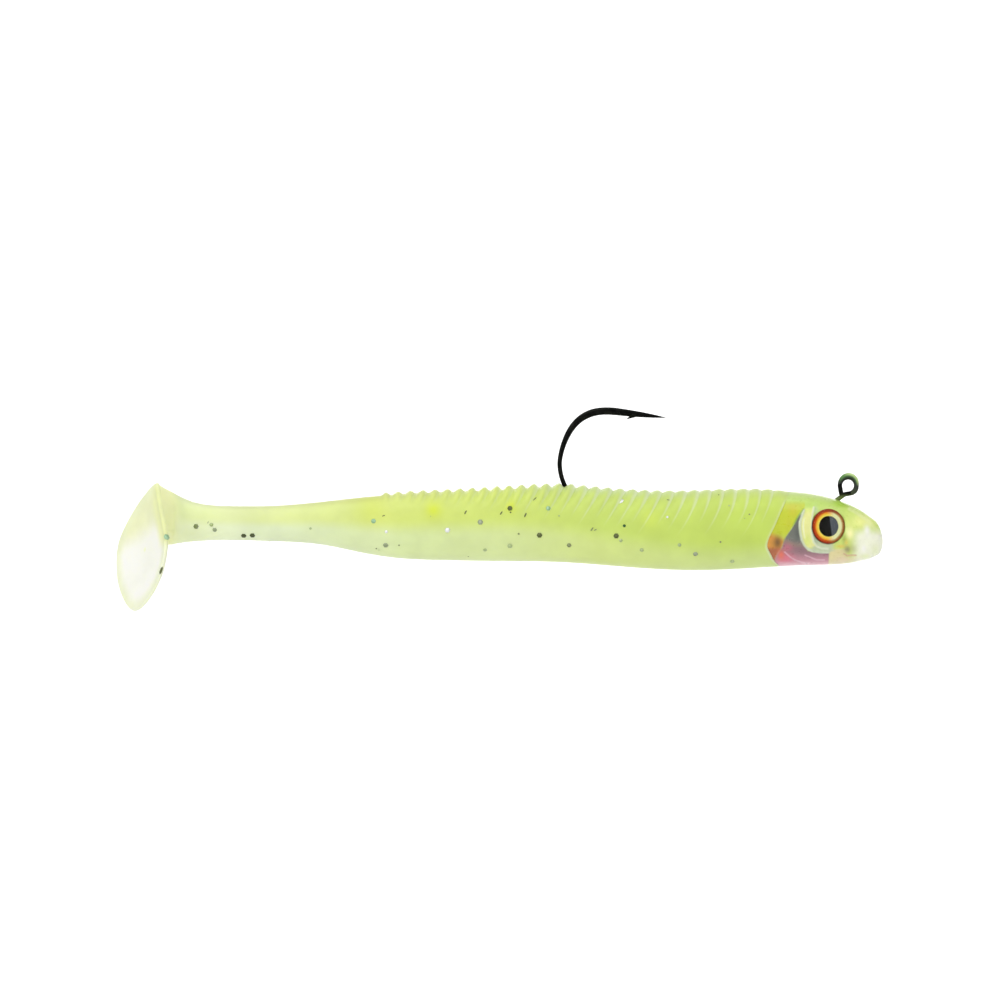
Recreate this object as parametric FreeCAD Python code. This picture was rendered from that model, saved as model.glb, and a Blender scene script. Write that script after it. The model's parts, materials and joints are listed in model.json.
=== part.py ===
"""A paddle-tail swimbait: a soft ribbed body threaded on a jig hook, behind a clear weighted head.

Millimetres. +X points to the nose, +Z up, and the origin is the centre of the line tie's eye.
The head is two clear half shells round a cast weight, with printed foils, domed eyes and a rattle.
The soft body is one moulding on the real lure. Here it is four segments joined at three flex points,
each a round knuckle in a socket with a notch either side, so that the tail can swing.
"""
import FreeCAD, Part
import math
import os

from FreeCAD import Vector

# Head and body outline: station along X, top, bottom, half width
NOSE_TIP = (5.1, -8.2)
HEAD_STATIONS = [
    (4.7, -6.7, -9.9, 1.55),
    (3.6, -5.1, -10.6, 2.6),
    (2.0, -3.9, -11.2, 3.4),
    (0.0, -2.8, -11.6, 4.1),
    (-3.0, -1.75, -11.9, 4.65),
    (-7.0, -1.0, -12.0, 4.9),
]
BODY_STATIONS = [
    (-12.0, -0.8, -12.2, 5.0),
    (-18.0, -0.7, -12.5, 5.1),
    (-26.0, -0.9, -12.6, 5.1),
    (-34.0, -0.6, -12.2, 5.0),
    (-43.0, -0.1, -11.5, 4.9),
    (-52.0, -0.5, -11.3, 4.7),
    (-61.0, -0.8, -11.15, 4.4),
    (-67.7, -1.2, -10.8, 4.0),
    (-73.0, -1.75, -10.0, 3.5),
    (-79.0, -2.45, -8.85, 2.9),
    (-86.0, -3.0, -8.4, 2.35),
    (-93.0, -3.05, -8.2, 2.05),
    (-98.0, -2.45, -8.4, 1.9),
    (-103.0, -1.0, -9.2, 1.8),
]

# Head: walls, joint with the soft body, and what the shells hold
SHELL_WALL = 1.2
FOIL_GAP = 0.05
FOIL_THICKNESS = 0.17
CORE_INSET = 1.5
SOLID_NOSE_STATIONS = 2
GILL_TOP = (-8.0, 2.0)
GILL_REAR = (-12.35, -8.9)
GILL_BOTTOM = (-9.2, -14.0)
GILL_ROUND = 1.2
BODY_GAP = 0.05
PEG_RADIUS = 0.35
PEG_LENGTH = 0.8
PEG_CLEARANCE = 0.04
PEG_PLACES = [(3.2, -8.0), (-6.0, -11.4)]
FOIL_RANGE = (-9.1, 0.6, -11.4, -2.4)

# Eyes
EYE_CENTRE = (-2.9, -6.1)
EYE_RADIUS = 2.4
EYE_TURN = 10.0
EYE_FACE = 4.15
EYE_FOIL = 0.2
EYE_DOME_HEIGHT = 0.95
EYE_SEAT_CLEARANCE = 0.05

# Rattle: a capped tube across the nose with one ball in it
RATTLE_AT = (0.0, -9.0)
RATTLE_RADIUS = 0.9
RATTLE_BORE = 0.7
RATTLE_HALF_LENGTH = 1.55
RATTLE_CAP = 0.25
BALL_RADIUS = 0.6

# Hook: one wire with the line tie at one end and a barbed point at the other
EYE_BORE_RADIUS = 0.88
EYE_RING_RADIUS = 1.21
EYE_RING_ENDS = (-80.0, 228.0)
EYE_TAIL_ANGLE = 190.0
EYE_TAIL_LENGTH = 1.15
WIRE_RADIUS = 0.35
NECK_KINK = (-0.544, -1.323)
NECK_KINK_BEND = 0.9
NECK_CORNER_X = -4.65
SHANK_HEIGHT = -4.4
NECK_BEND = 1.5
BEND_CENTRE_X = -35.3
BEND_RADIUS = 7.77
UPPER_BEND = [
    (180, 7.77, 0.35),
    (170, 7.7, 0.37),
    (160, 7.69, 0.4),
    (150, 7.77, 0.44),
    (140, 7.91, 0.48),
    (130, 8.04, 0.52),
    (120, 8.08, 0.55),
    (110, 8.01, 0.57),
    (100, 7.86, 0.57),
    (91, 7.74, 0.57),
    (83, 7.7, 0.56),
]
SPEAR_DROP = 7.0
SPEAR_LENGTH = 7.2
SPEAR_PROFILE = [(0.0, 0.56), (0.35, 0.47), (0.7, 0.29), (1.0, 0.03)]
BARB_TIP = (-33.2, 9.85)
BARB_ROOT = [(-32.5, 10.45), (-31.3, 10.3)]
BARB_THICKNESS = 0.35
CAST_CLEARANCE = 0.01
CHANNEL_CLEARANCE = 0.05

# Keeper: a barbed sleeve on the shank that grips the soft body
KEEPER_FRONT = -9.25
KEEPER_REAR = -20.0
KEEPER_RADIUS = 1.2
KEEPER_BARB_RADIUS = 1.9
KEEPER_BARB_LENGTH = 2.2
KEEPER_BARBS = [-13.2, -16.6]

# Flex points: hinge X, knuckle radius, half angle of the notch
REAR_FLEX = (-58.0, 2.9, 9.5)
STALK_FLEX = (-80.0, 1.75, 17.0)
PADDLE_FLEX = (-100.5, 1.15, 24.5)
KNUCKLE_CLEARANCE = 0.12

# Paddle, straight behind its flex point and then turned to its moulded rest angle
PADDLE_TURN = 33.0
PADDLE_TOP = (3.3, 0.3)
PADDLE_BOTTOM = (6.7, -18.6)
PADDLE_HALF_WIDTHS = [(0.1, 1.7), (0.26, 3.9), (0.47, 6.0), (0.63, 5.9), (0.78, 4.6), (0.91, 2.6)]
PADDLE_THICKNESS = 1.2
DISH_DEPTH = 0.5
DISH_RADIUS = 28.0
NECK_STATIONS = [
    (-2.2, -2.3, -8.6, 1.85),
    (0.0, -1.6, -8.9, 1.75),
    (2.4, -0.6, -9.6, 1.8),
    (4.6, 0.0, -10.6, 2.2),
]

REACH = 60.0
Y = Vector(0, 1, 0)
Z = Vector(0, 0, 1)
PARTS = "parts"


def ellipse(x, top, bottom, half_width):
    """A closed upright elliptical section across X."""
    centre = Vector(x, 0, (top + bottom) / 2)
    curve = Part.Ellipse(Vector(x, 0, top), Vector(x, half_width, centre.z), centre)
    return Part.Wire([curve.toShape()])


def loft(stations, tip=None):
    """A smooth solid through elliptical sections, closed to a point at tip where there is one."""
    profiles = [ellipse(*station) for station in stations]
    if tip:
        profiles.insert(0, Part.Vertex(tip[0], 0, tip[1]))
    return Part.makeLoft(profiles, True, False)


def inset_stations(stations, inset):
    """The same sections, drawn in by inset all round."""
    return [(x, top - inset, bottom + inset, half - inset) for x, top, bottom, half in stations]


def prism_y(outline):
    """A slab right across Y whose XZ outline is a wire."""
    face = Part.Face(outline)
    face.translate(Vector(0, -REACH / 2, 0))
    return face.extrude(Y * REACH)


def prism_z(points):
    """A slab right up Z whose XY outline is a polygon."""
    corners = [Vector(x, y, -REACH / 2) for x, y in points]
    return Part.Face(Part.makePolygon(corners + corners[:1])).extrude(Z * REACH)


def xz(point):
    return Vector(point[0], 0, point[1])


def rounded_corner(before, corner, after, radius):
    """The tangent arc that rounds a corner, as (start, middle, end)."""
    back = (before - corner).normalize()
    on = (after - corner).normalize()
    half_angle = back.getAngle(on) / 2
    start = corner + back * (radius / math.tan(half_angle))
    end = corner + on * (radius / math.tan(half_angle))
    inward = (back + on).normalize()
    middle = corner + inward * (radius / math.sin(half_angle) - radius)
    return start, middle, end


def ahead_of_gills(shift):
    """Everything ahead of the gill edge, where the head meets the soft body, moved back by shift."""
    top, rear, bottom = (xz(p) - Vector(shift, 0, 0) for p in (GILL_TOP, GILL_REAR, GILL_BOTTOM))
    start, middle, end = rounded_corner(top, rear, bottom, GILL_ROUND)
    ahead = Vector(REACH, 0, 0)
    edges = [
        Part.makeLine(top, start),
        Part.Arc(start, middle, end).toShape(),
        Part.makeLine(end, bottom),
        Part.makeLine(bottom, bottom + ahead),
        Part.makeLine(bottom + ahead, top + ahead),
        Part.makeLine(top + ahead, top),
    ]
    return prism_y(Part.Wire(edges))


def head_form():
    """The head's outer form, cut off at the gill edge."""
    return loft(HEAD_STATIONS + BODY_STATIONS[:2], NOSE_TIP).common(ahead_of_gills(0))


def head_inside(inset):
    """The head's form behind the solid nose, drawn in by inset all round."""
    stations = HEAD_STATIONS[SOLID_NOSE_STATIONS:] + BODY_STATIONS[:2]
    return loft(inset_stations(stations, inset)).common(ahead_of_gills(-inset))


def tapered_pipe(path, start_circle, end_circle=None):
    """A tube along a wire, with one section or a section at each end."""
    profiles = [start_circle] + ([end_circle] if end_circle else [])
    return path.makePipeShell(profiles, True, True)


def circle(centre, direction, radius):
    return Part.Wire([Part.Circle(centre, direction, radius).toShape()])


def line_tie_ring():
    """The eye: wire bent round Y, with a narrow flat land inside where the line bears."""
    section = Part.Face(circle(Vector(EYE_RING_RADIUS, 0, 0), Z, WIRE_RADIUS))
    inner = Part.makeBox(EYE_BORE_RADIUS, 2, 2, Vector(0, -1, -1))
    section = section.cut(inner)
    leave, tip = EYE_RING_ENDS
    section.rotate(Vector(), Y, -leave)
    return section.revolve(Vector(), -Y, tip - leave)


def line_tie_tail():
    """The wire's free end: it runs straight off the eye and closes against the neck."""
    turn = math.radians(EYE_TAIL_ANGLE)
    start = Vector(math.cos(turn), 0, math.sin(turn)) * EYE_RING_RADIUS
    along = Vector(-math.sin(turn), 0, math.cos(turn))
    tail = Part.makeCylinder(WIRE_RADIUS, EYE_TAIL_LENGTH, start, along)
    return tail.cut(Part.makeCylinder(EYE_BORE_RADIUS, 2, Vector(0, -1, 0), Y))


def bend_point(angle, radius=BEND_RADIUS):
    """A point on the hook's bend, with the angle in degrees from +X towards +Z."""
    turn = math.radians(angle)
    return Vector(
        BEND_CENTRE_X + radius * math.cos(turn), 0, SHANK_HEIGHT + BEND_RADIUS + radius * math.sin(turn)
    )


def neck_and_shank(extra):
    """The wire from the bottom of the eye, down into the head and back along the body."""
    leave = math.radians(EYE_RING_ENDS[0])
    eye_end = Vector(math.cos(leave), 0, math.sin(leave)) * EYE_RING_RADIUS
    kink = xz(NECK_KINK)
    corner = Vector(NECK_CORNER_X, 0, SHANK_HEIGHT)
    shank_end = Vector(BEND_CENTRE_X, 0, SHANK_HEIGHT)
    first = rounded_corner(eye_end, kink, corner, NECK_KINK_BEND)
    second = rounded_corner(kink, corner, shank_end, NECK_BEND)
    path = Part.Wire([
        Part.makeLine(eye_end, first[0]),
        Part.Arc(*first).toShape(),
        Part.makeLine(first[2], second[0]),
        Part.Arc(*second).toShape(),
        Part.makeLine(second[2], shank_end),
    ])
    return tapered_pipe(path, circle(eye_end, (first[0] - eye_end).normalize(), WIRE_RADIUS + extra))


def bend(extra):
    """The round bend: plain wire up to its rear, then fuller and thicker towards the spear."""
    lower = Part.Arc(bend_point(-90), bend_point(-135), bend_point(-180)).toShape()
    low_end = circle(bend_point(-90), Vector(-1, 0, 0), WIRE_RADIUS + extra)
    line = Part.BSplineCurve()
    points = [bend_point(angle, reach) for angle, reach, _ in UPPER_BEND]
    line.interpolate(Points=points, InitialTangent=Z, FinalTangent=spear_direction())
    sections = []
    for point, (_, _, radius) in zip(points, UPPER_BEND):
        along = line.tangent(line.parameter(point))[0]
        sections.append(circle(point, along, radius + extra))
    return tapered_pipe(Part.Wire([lower]), low_end).fuse(Part.makeLoft(sections, True, False))


def spear_direction():
    drop = math.radians(-SPEAR_DROP)
    return Vector(math.cos(drop), 0, math.sin(drop))


def spear():
    """The straight point, tapering to a tip."""
    along = spear_direction()
    start = bend_point(*UPPER_BEND[-1][:2])
    sections = [circle(start + along * (share * SPEAR_LENGTH), along, radius) for share, radius in SPEAR_PROFILE]
    return Part.makeLoft(sections, True, False)


def barb():
    """The small barb under the spear, pointing back to the bend."""
    corners = [xz(BARB_TIP)] + [xz(p) for p in BARB_ROOT]
    face = Part.Face(Part.makePolygon(corners + corners[:1]))
    face.translate(Vector(0, -BARB_THICKNESS / 2, 0))
    return face.extrude(Y * BARB_THICKNESS)


def hook():
    body = line_tie_ring().fuse([line_tie_tail(), neck_and_shank(0), bend(0), spear(), barb()])
    return body.removeSplitter()


def hook_channel(clearance):
    """The space that the buried wire takes, with clearance all round."""
    return neck_and_shank(clearance).fuse(bend(clearance))


def keeper_profile(extra):
    """The barbed sleeve's outer form, turned about the shank."""
    outer = KEEPER_RADIUS + extra
    barb_outer = KEEPER_BARB_RADIUS + extra
    shape = Part.makeCylinder(
        outer, KEEPER_FRONT - KEEPER_REAR + extra, Vector(KEEPER_REAR - extra, 0, SHANK_HEIGHT), Vector(1, 0, 0)
    )
    for x in KEEPER_BARBS:
        cone = Part.makeCone(
            outer, barb_outer, KEEPER_BARB_LENGTH, Vector(x - KEEPER_BARB_LENGTH, 0, SHANK_HEIGHT), Vector(1, 0, 0)
        )
        shape = shape.fuse(cone)
    return shape.removeSplitter()


def keeper():
    return keeper_profile(0).cut(neck_and_shank(CAST_CLEARANCE))


def rattle_cylinder(radius, half_length):
    return Part.makeCylinder(radius, 2 * half_length, Vector(RATTLE_AT[0], -half_length, RATTLE_AT[1]), Y)


def rattle_tube():
    return rattle_cylinder(RATTLE_RADIUS, RATTLE_HALF_LENGTH).cut(rattle_cylinder(RATTLE_BORE, REACH / 2))


def rattle_caps():
    """The two discs that close the tube, pressed inside its ends."""
    whole = rattle_cylinder(RATTLE_BORE - CAST_CLEARANCE, RATTLE_HALF_LENGTH)
    gap = rattle_cylinder(RATTLE_RADIUS, RATTLE_HALF_LENGTH - RATTLE_CAP)
    return whole.cut(gap)


def rattle_ball():
    return Part.makeSphere(BALL_RADIUS, Vector(RATTLE_AT[0], 0, RATTLE_AT[1]))


def eye_axis(side):
    turn = math.radians(EYE_TURN)
    return Vector(math.sin(turn), side * math.cos(turn), 0)


def eye_face(side):
    """The middle of the eye seat's floor."""
    return Vector(EYE_CENTRE[0], side * EYE_FACE, EYE_CENTRE[1])


def eye_foil(side):
    return Part.makeCylinder(EYE_RADIUS, EYE_FOIL, eye_face(side), eye_axis(side))


def eye_dome(side):
    """The clear lens on the foil: a flat-backed spherical cap."""
    height = EYE_DOME_HEIGHT
    ball_radius = (EYE_RADIUS**2 + height**2) / (2 * height)
    axis = eye_axis(side)
    base = eye_face(side) + axis * EYE_FOIL
    ball = Part.makeSphere(ball_radius, base + axis * (height - ball_radius))
    return ball.common(Part.makeCylinder(EYE_RADIUS + 1, height + 1, base, axis))


def eye_seat(side):
    return Part.makeCylinder(EYE_RADIUS + EYE_SEAT_CLEARANCE, REACH / 4, eye_face(side), eye_axis(side))


def half_space(side):
    return Part.makeBox(2 * REACH, REACH, REACH, Vector(-REACH, 0 if side > 0 else -REACH, -REACH / 2))


def peg(place, clearance):
    half_length = PEG_LENGTH / 2 + clearance
    return Part.makeCylinder(PEG_RADIUS + clearance, 2 * half_length, xz(place) - Y * half_length, Y)


def head_shells():
    """The clear left and right halves, with the eye seats, the way in for the hook and two pegs."""
    way_in = [neck_and_shank(CHANNEL_CLEARANCE), keeper_profile(CHANNEL_CLEARANCE)]
    shell = head_form().cut([head_inside(SHELL_WALL), eye_seat(1), eye_seat(-1)] + way_in)
    left = shell.common(half_space(1))
    right = shell.common(half_space(-1))
    for place in PEG_PLACES:
        left = left.fuse(peg(place, 0))
        right = right.cut(peg(place, PEG_CLEARANCE))
    return left, right


def cheek_foil(side):
    """The printed foil behind the clear cheek."""
    outer = head_inside(SHELL_WALL + FOIL_GAP)
    inner = head_inside(SHELL_WALL + FOIL_GAP + FOIL_THICKNESS)
    low_x, high_x, low_z, high_z = FOIL_RANGE
    window = Part.makeBox(
        high_x - low_x, REACH / 2, high_z - low_z, Vector(low_x, 0 if side > 0 else -REACH / 2, low_z)
    )
    clear_of_middle = Part.makeBox(2 * REACH, 2, REACH, Vector(-REACH, -1, -REACH / 2))
    rattle = rattle_cylinder(RATTLE_RADIUS + CAST_CLEARANCE, REACH / 4)
    return outer.cut(inner).common(window).cut([clear_of_middle, rattle])


def weight_core():
    """The cast weight, moulded round the hook, with a round seat for the rattle at its front."""
    front = Part.makeBox(REACH, REACH, REACH, Vector(RATTLE_AT[0], -REACH / 2, -REACH / 2))
    core = head_inside(CORE_INSET).cut(front)
    core = core.cut(rattle_cylinder(RATTLE_RADIUS + CAST_CLEARANCE, REACH / 4))
    core = core.cut(neck_and_shank(CAST_CLEARANCE))
    return core.cut(keeper_profile(CAST_CLEARANCE))


def knuckle(flex, extra=0.0):
    x, radius, _ = flex
    return Part.makeCylinder(radius + extra, REACH, Vector(x, 0, -REACH / 2))


def notch(flex, towards):
    """Everything on one side of a flex point's V, towards +1 for ahead of it or -1 for behind it."""
    x, _, half_angle = flex
    slope = math.tan(math.radians(half_angle)) * REACH
    return prism_z(
        [
            (x, 0),
            (x + towards * slope, REACH),
            (x + towards * 3 * REACH, REACH),
            (x + towards * 3 * REACH, -REACH),
            (x + towards * slope, -REACH),
        ]
    )


def ahead_of(form, flex):
    """The part of a form ahead of a flex point, with the socket for the knuckle behind it."""
    return form.common(notch(flex, 1)).cut(knuckle(flex, KNUCKLE_CLEARANCE))


def behind(form, flex):
    """The part of a form behind a flex point, with its round knuckle."""
    return form.common(notch(flex, -1)).fuse(form.common(knuckle(flex)))


def paddle_disc():
    """The thin egg-shaped paddle with a shallow dish in its rear face, square to X but leaning back."""
    origin = Vector(PADDLE_FLEX[0], 0, 0)
    top = origin + Vector(-PADDLE_TOP[0], 0, PADDLE_TOP[1])
    bottom = origin + Vector(-PADDLE_BOTTOM[0], 0, PADDLE_BOTTOM[1])
    down = bottom - top
    right = [top + down * share + Y * half for share, half in PADDLE_HALF_WIDTHS]
    left = [top + down * share - Y * half for share, half in reversed(PADDLE_HALF_WIDTHS)]
    outline = Part.BSplineCurve()
    outline.interpolate([top] + right + [bottom] + left, PeriodicFlag=True)
    face = Part.Face(Part.Wire([outline.toShape()]))
    back = Vector(down.z, 0, -down.x).normalize()
    disc = face.extrude(back * PADDLE_THICKNESS)
    dish_middle = top + down * 0.55 + back * (PADDLE_THICKNESS - DISH_DEPTH + DISH_RADIUS)
    return disc.cut(Part.makeSphere(DISH_RADIUS, dish_middle))


def tail_paddle():
    stations = [(PADDLE_FLEX[0] - back, top, bottom, half) for back, top, bottom, half in NECK_STATIONS]
    whole_neck = loft(stations)
    whole = behind(whole_neck, PADDLE_FLEX).fuse(paddle_disc())
    whole.rotate(Vector(PADDLE_FLEX[0], 0, 0), Z, PADDLE_TURN)
    return whole


def soft_body():
    """The segments of the soft moulding that stay in line: front, rear and stalk."""
    form = loft(HEAD_STATIONS + BODY_STATIONS)
    front = ahead_of(form, REAR_FLEX).cut(ahead_of_gills(BODY_GAP))
    front = front.cut([hook_channel(CHANNEL_CLEARANCE), keeper_profile(CHANNEL_CLEARANCE)])
    rear = ahead_of(behind(form, REAR_FLEX), STALK_FLEX)
    stalk = ahead_of(behind(form, STALK_FLEX), PADDLE_FLEX)
    return front, rear, stalk


def main():
    os.makedirs(PARTS, exist_ok=True)
    left, right = head_shells()
    front, rear, stalk = soft_body()
    nodes = {
        "hook": hook(),
        "weight_core": weight_core(),
        "keeper_collar": keeper(),
        "head_shell_left": left,
        "head_shell_right": right,
        "cheek_foil_left": cheek_foil(1),
        "cheek_foil_right": cheek_foil(-1),
        "eye_foil_left": eye_foil(1),
        "eye_foil_right": eye_foil(-1),
        "eye_dome_left": eye_dome(1),
        "eye_dome_right": eye_dome(-1),
        "rattle_tube": rattle_tube(),
        "rattle_end_caps": rattle_caps(),
        "rattle_ball": rattle_ball(),
        "body_front": front,
        "body_rear": rear,
        "tail_stalk": stalk,
        "tail_paddle": tail_paddle(),
    }
    for name, shape in nodes.items():
        shape.exportStep(os.path.join(PARTS, name + ".step"))
        box = shape.BoundBox
        print(
            f"{name}: {len(shape.Solids)} solid(s), valid {shape.isValid()}, {shape.Volume:.2f} mm3, "
            f"x {box.XMin:.2f} to {box.XMax:.2f}, y {box.YMin:.2f} to {box.YMax:.2f}, "
            f"z {box.ZMin:.2f} to {box.ZMax:.2f}"
        )


main()
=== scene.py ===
"""The looks of a paddle-tail swimbait on a weighted jig hook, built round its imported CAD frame.

The frame is in metres. The outlines here are in millimetres, in the frame's own axes: +X to the nose, +Z up,
and the origin at the centre of the line tie. MM turns them into metres as each mesh is made.
"""
import json
import math

import bpy
import numpy as np
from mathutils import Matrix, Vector


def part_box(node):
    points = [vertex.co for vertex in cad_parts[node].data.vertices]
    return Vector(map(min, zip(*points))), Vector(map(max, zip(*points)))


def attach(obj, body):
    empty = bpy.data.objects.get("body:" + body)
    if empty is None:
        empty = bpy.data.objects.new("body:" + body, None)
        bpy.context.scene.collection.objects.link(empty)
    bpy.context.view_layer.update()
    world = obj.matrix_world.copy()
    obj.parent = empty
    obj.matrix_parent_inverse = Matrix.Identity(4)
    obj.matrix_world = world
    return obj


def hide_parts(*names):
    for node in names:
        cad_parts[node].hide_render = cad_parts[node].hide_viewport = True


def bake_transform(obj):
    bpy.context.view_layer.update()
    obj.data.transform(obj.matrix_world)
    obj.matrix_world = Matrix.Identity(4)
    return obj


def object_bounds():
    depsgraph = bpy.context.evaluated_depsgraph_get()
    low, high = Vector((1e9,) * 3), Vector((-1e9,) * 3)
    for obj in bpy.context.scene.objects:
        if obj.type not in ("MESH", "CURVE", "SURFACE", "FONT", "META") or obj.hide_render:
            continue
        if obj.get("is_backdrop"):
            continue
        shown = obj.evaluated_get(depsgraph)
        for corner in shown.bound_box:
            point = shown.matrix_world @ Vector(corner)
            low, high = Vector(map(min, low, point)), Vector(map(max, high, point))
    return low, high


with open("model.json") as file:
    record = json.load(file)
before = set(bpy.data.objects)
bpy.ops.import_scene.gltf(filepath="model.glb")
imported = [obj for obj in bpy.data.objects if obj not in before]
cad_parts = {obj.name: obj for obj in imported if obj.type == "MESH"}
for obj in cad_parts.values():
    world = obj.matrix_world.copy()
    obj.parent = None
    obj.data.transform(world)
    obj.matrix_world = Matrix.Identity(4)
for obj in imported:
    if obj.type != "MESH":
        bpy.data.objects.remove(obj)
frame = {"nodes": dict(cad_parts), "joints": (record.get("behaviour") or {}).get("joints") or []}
CAD_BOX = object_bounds()

MM = 0.001

# Soft body: station along X, top of the back between the ribs, belly, half width
BODY_OUTLINE = [
    (-103.4, 0.0, -9.7, 1.75),
    (-102.0, -0.5, -9.1, 1.72),
    (-100.5, -1.25, -8.72, 1.72),
    (-98.0, -2.35, -8.4, 1.8),
    (-95.5, -2.88, -8.22, 1.95),
    (-92.3, -3.05, -8.17, 2.1),
    (-85.6, -3.0, -8.35, 2.4),
    (-78.9, -2.45, -8.8, 2.9),
    (-73.0, -1.8, -9.95, 3.5),
    (-67.7, -1.35, -10.8, 4.0),
    (-61.0, -1.0, -11.15, 4.4),
    (-52.0, -0.65, -11.3, 4.7),
    (-43.0, -0.25, -11.45, 4.9),
    (-34.0, -0.85, -12.1, 5.0),
    (-26.0, -1.05, -12.6, 5.1),
    (-18.0, -0.75, -12.55, 5.1),
    (-12.0, -0.75, -12.2, 5.0),
    (-7.0, -1.0, -11.95, 4.9),
]
# Every section is a superellipse of this power: 2 would be an ellipse, and more is squarer
SECTION_POWER = 2.12
# Where the soft body meets the head, low to high: Z, X
GILL_EDGE = [(-14.0, -8.6), (-12.2, -10.0), (-11.3, -11.05), (-10.3, -11.65), (-9.2, -12.2),
             (-8.4, -12.15), (-6.4, -11.3), (-4.4, -10.4), (-1.5, -9.1), (0.5, -8.4)]
SKIN_AROUND = 176
# X of the two seams between the skins, the hair's gap at each, and how far the lip at the gills is rounded
FRONT_SEAM = -70.0
REAR_SEAM = -92.0
SEAM_GAP = 0.002
LIP_ROUND = 0.1

# Ribs on the back: pitch, X of the last crest, and how far along a rib its crest is. The lists are by X:
# height, sharpness of the crest, strength of the painted highlight in the crease, and how far down a rib
# reaches
RIB_PITCH = 1.8436
LAST_RIB = -68.96
RIB_CREST = 0.6
RIB_HEIGHT = [(-70.1, 0.0), (-69.2, 0.42), (-60.0, 0.45), (-52.0, 0.6), (-43.5, 0.6), (-38.0, 0.46),
              (-30.0, 0.4), (-24.0, 0.3), (-12.0, 0.24), (-10.2, 0.12), (-9.2, 0.0)]
RIB_POWER = [(-69.0, 2.0), (-55.0, 1.8), (-44.0, 1.3), (-32.0, 1.0), (-12.0, 0.9)]
RIB_HIGHLIGHT_STRENGTH = [(-69.0, 0.1), (-58.0, 0.2), (-50.0, 0.4), (-45.0, 0.7), (-36.0, 0.9), (-20.0, 0.8),
                 (-12.0, 0.65)]
RIB_REACH = [(-70.0, 1.7), (-60.0, 2.3), (-52.0, 3.6), (-44.0, 5.2), (-36.0, 6.2), (-25.0, 7.0), (-12.0, 7.6)]

# Tail: the bend at the paddle's flex point, and the paddle's own shape, straight behind that point
PADDLE_TURN = math.radians(33)
TAIL_BEND_REACH = 1.9
# The paddle's middle line: Z, distance behind the flex point. Its shape: share of the way down, half width
PADDLE_LINE = [(0.36, 2.9), (-1.7, 3.75), (-4.65, 4.55), (-8.6, 5.25), (-11.6, 5.65), (-14.6, 6.05),
               (-18.7, 6.6)]
PADDLE_SHAPE = [(0.0, 2.4), (0.105, 3.75), (0.263, 5.4), (0.474, 7.05), (0.63, 7.2), (0.79, 7.05),
                (0.92, 6.3), (1.0, 5.6)]
PADDLE_WALL = 0.55
PADDLE_RIM = 0.6
PADDLE_CUP = 0.75
PADDLE_MIDDLE = 0.52
# The web's foot on the paddle: its middle's height, half its height, and how much further it reaches low down
WEB_MIDDLE = -4.95
WEB_HALF = 5.22
WEB_DROOP = 0.12

# Head: share of the way back from the nose (as a square root), top, chin, half width
NOSE = 5.22
HEAD_LENGTH = 17.4
HEAD_OUTLINE = [
    (0.0, -8.25, -8.25, 0.0),
    (0.099, -7.1, -9.5, 0.8),
    (0.164, -6.28, -10.12, 1.35),
    (0.2385, -5.42, -10.5, 1.95),
    (0.33, -4.68, -10.93, 2.6),
    (0.41, -3.93, -11.2, 3.15),
    (0.54, -2.8, -11.62, 4.0),
    (0.68, -1.78, -11.85, 4.6),
    (0.83, -1.05, -11.95, 4.88),
    (0.905, -0.88, -12.05, 4.95),
    (1.0, -0.75, -12.2, 5.0),
]
HEAD_RINGS = 210
HEAD_AROUND = 150

# Eyes: turned outwards to face a little ahead, each a printed disc under a dome in a round seat
EYE_TURN = math.radians(10)
EYE_SEAT = 2.62
EYE_NARROW = 0.95
DOME_HEIGHT = 0.85

# Line tie: inner radius of its ring
TIE_INNER = 0.87


def srgb(red, green, blue):
    """A colour from its everyday 0 to 255 values, with alpha 1."""
    def straight(v):
        v /= 255
        return v / 12.92 if v <= 0.04045 else ((v + 0.055) / 1.055) ** 2.4
    return straight(red), straight(green), straight(blue), 1.0


def smoothstep(low, high, value):
    t = np.clip((np.asarray(value, float) - low) / (high - low), 0, 1)
    return t * t * (3 - 2 * t)


def spline(points):
    """A natural cubic through (position, value) points, as a function of position."""
    xs, ys = np.array(sorted(points), float).T
    h = np.diff(xs)
    n = len(xs)
    system, right = np.eye(n), np.zeros(n)
    for i in range(1, n - 1):
        system[i, i - 1:i + 2] = h[i - 1], 2 * (h[i - 1] + h[i]), h[i]
        right[i] = 6 * ((ys[i + 1] - ys[i]) / h[i] - (ys[i] - ys[i - 1]) / h[i - 1])
    bend = np.linalg.solve(system, right)

    def value(x):
        x = np.clip(np.asarray(x, float), xs[0], xs[-1])
        i = np.clip(np.searchsorted(xs, x) - 1, 0, n - 2)
        t = x - xs[i]
        slope = (ys[i + 1] - ys[i]) / h[i] - h[i] * (2 * bend[i] + bend[i + 1]) / 6
        return ys[i] + slope * t + bend[i] * t**2 / 2 + (bend[i + 1] - bend[i]) * t**3 / (6 * h[i])

    return value


def steps(points):
    """Straight lines between (position, value) points, as a function of position."""
    xs, ys = np.array(sorted(points), float).T
    return lambda x: np.interp(x, xs, ys)


body_top, body_bottom, body_half = (spline([(s[0], s[k]) for s in BODY_OUTLINE]) for k in (1, 2, 3))
head_top, head_bottom, head_half_width = (spline([(s[0], s[k]) for s in HEAD_OUTLINE]) for k in (1, 2, 3))
gill_x = spline(GILL_EDGE)


def rounded(angle, power):
    """The unit superellipse at an angle from its top, as (sideways, upwards)."""
    s, c = np.sin(angle), np.cos(angle)
    return np.sign(s) * np.abs(s) ** (2 / power), np.sign(c) * np.abs(c) ** (2 / power)


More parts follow.
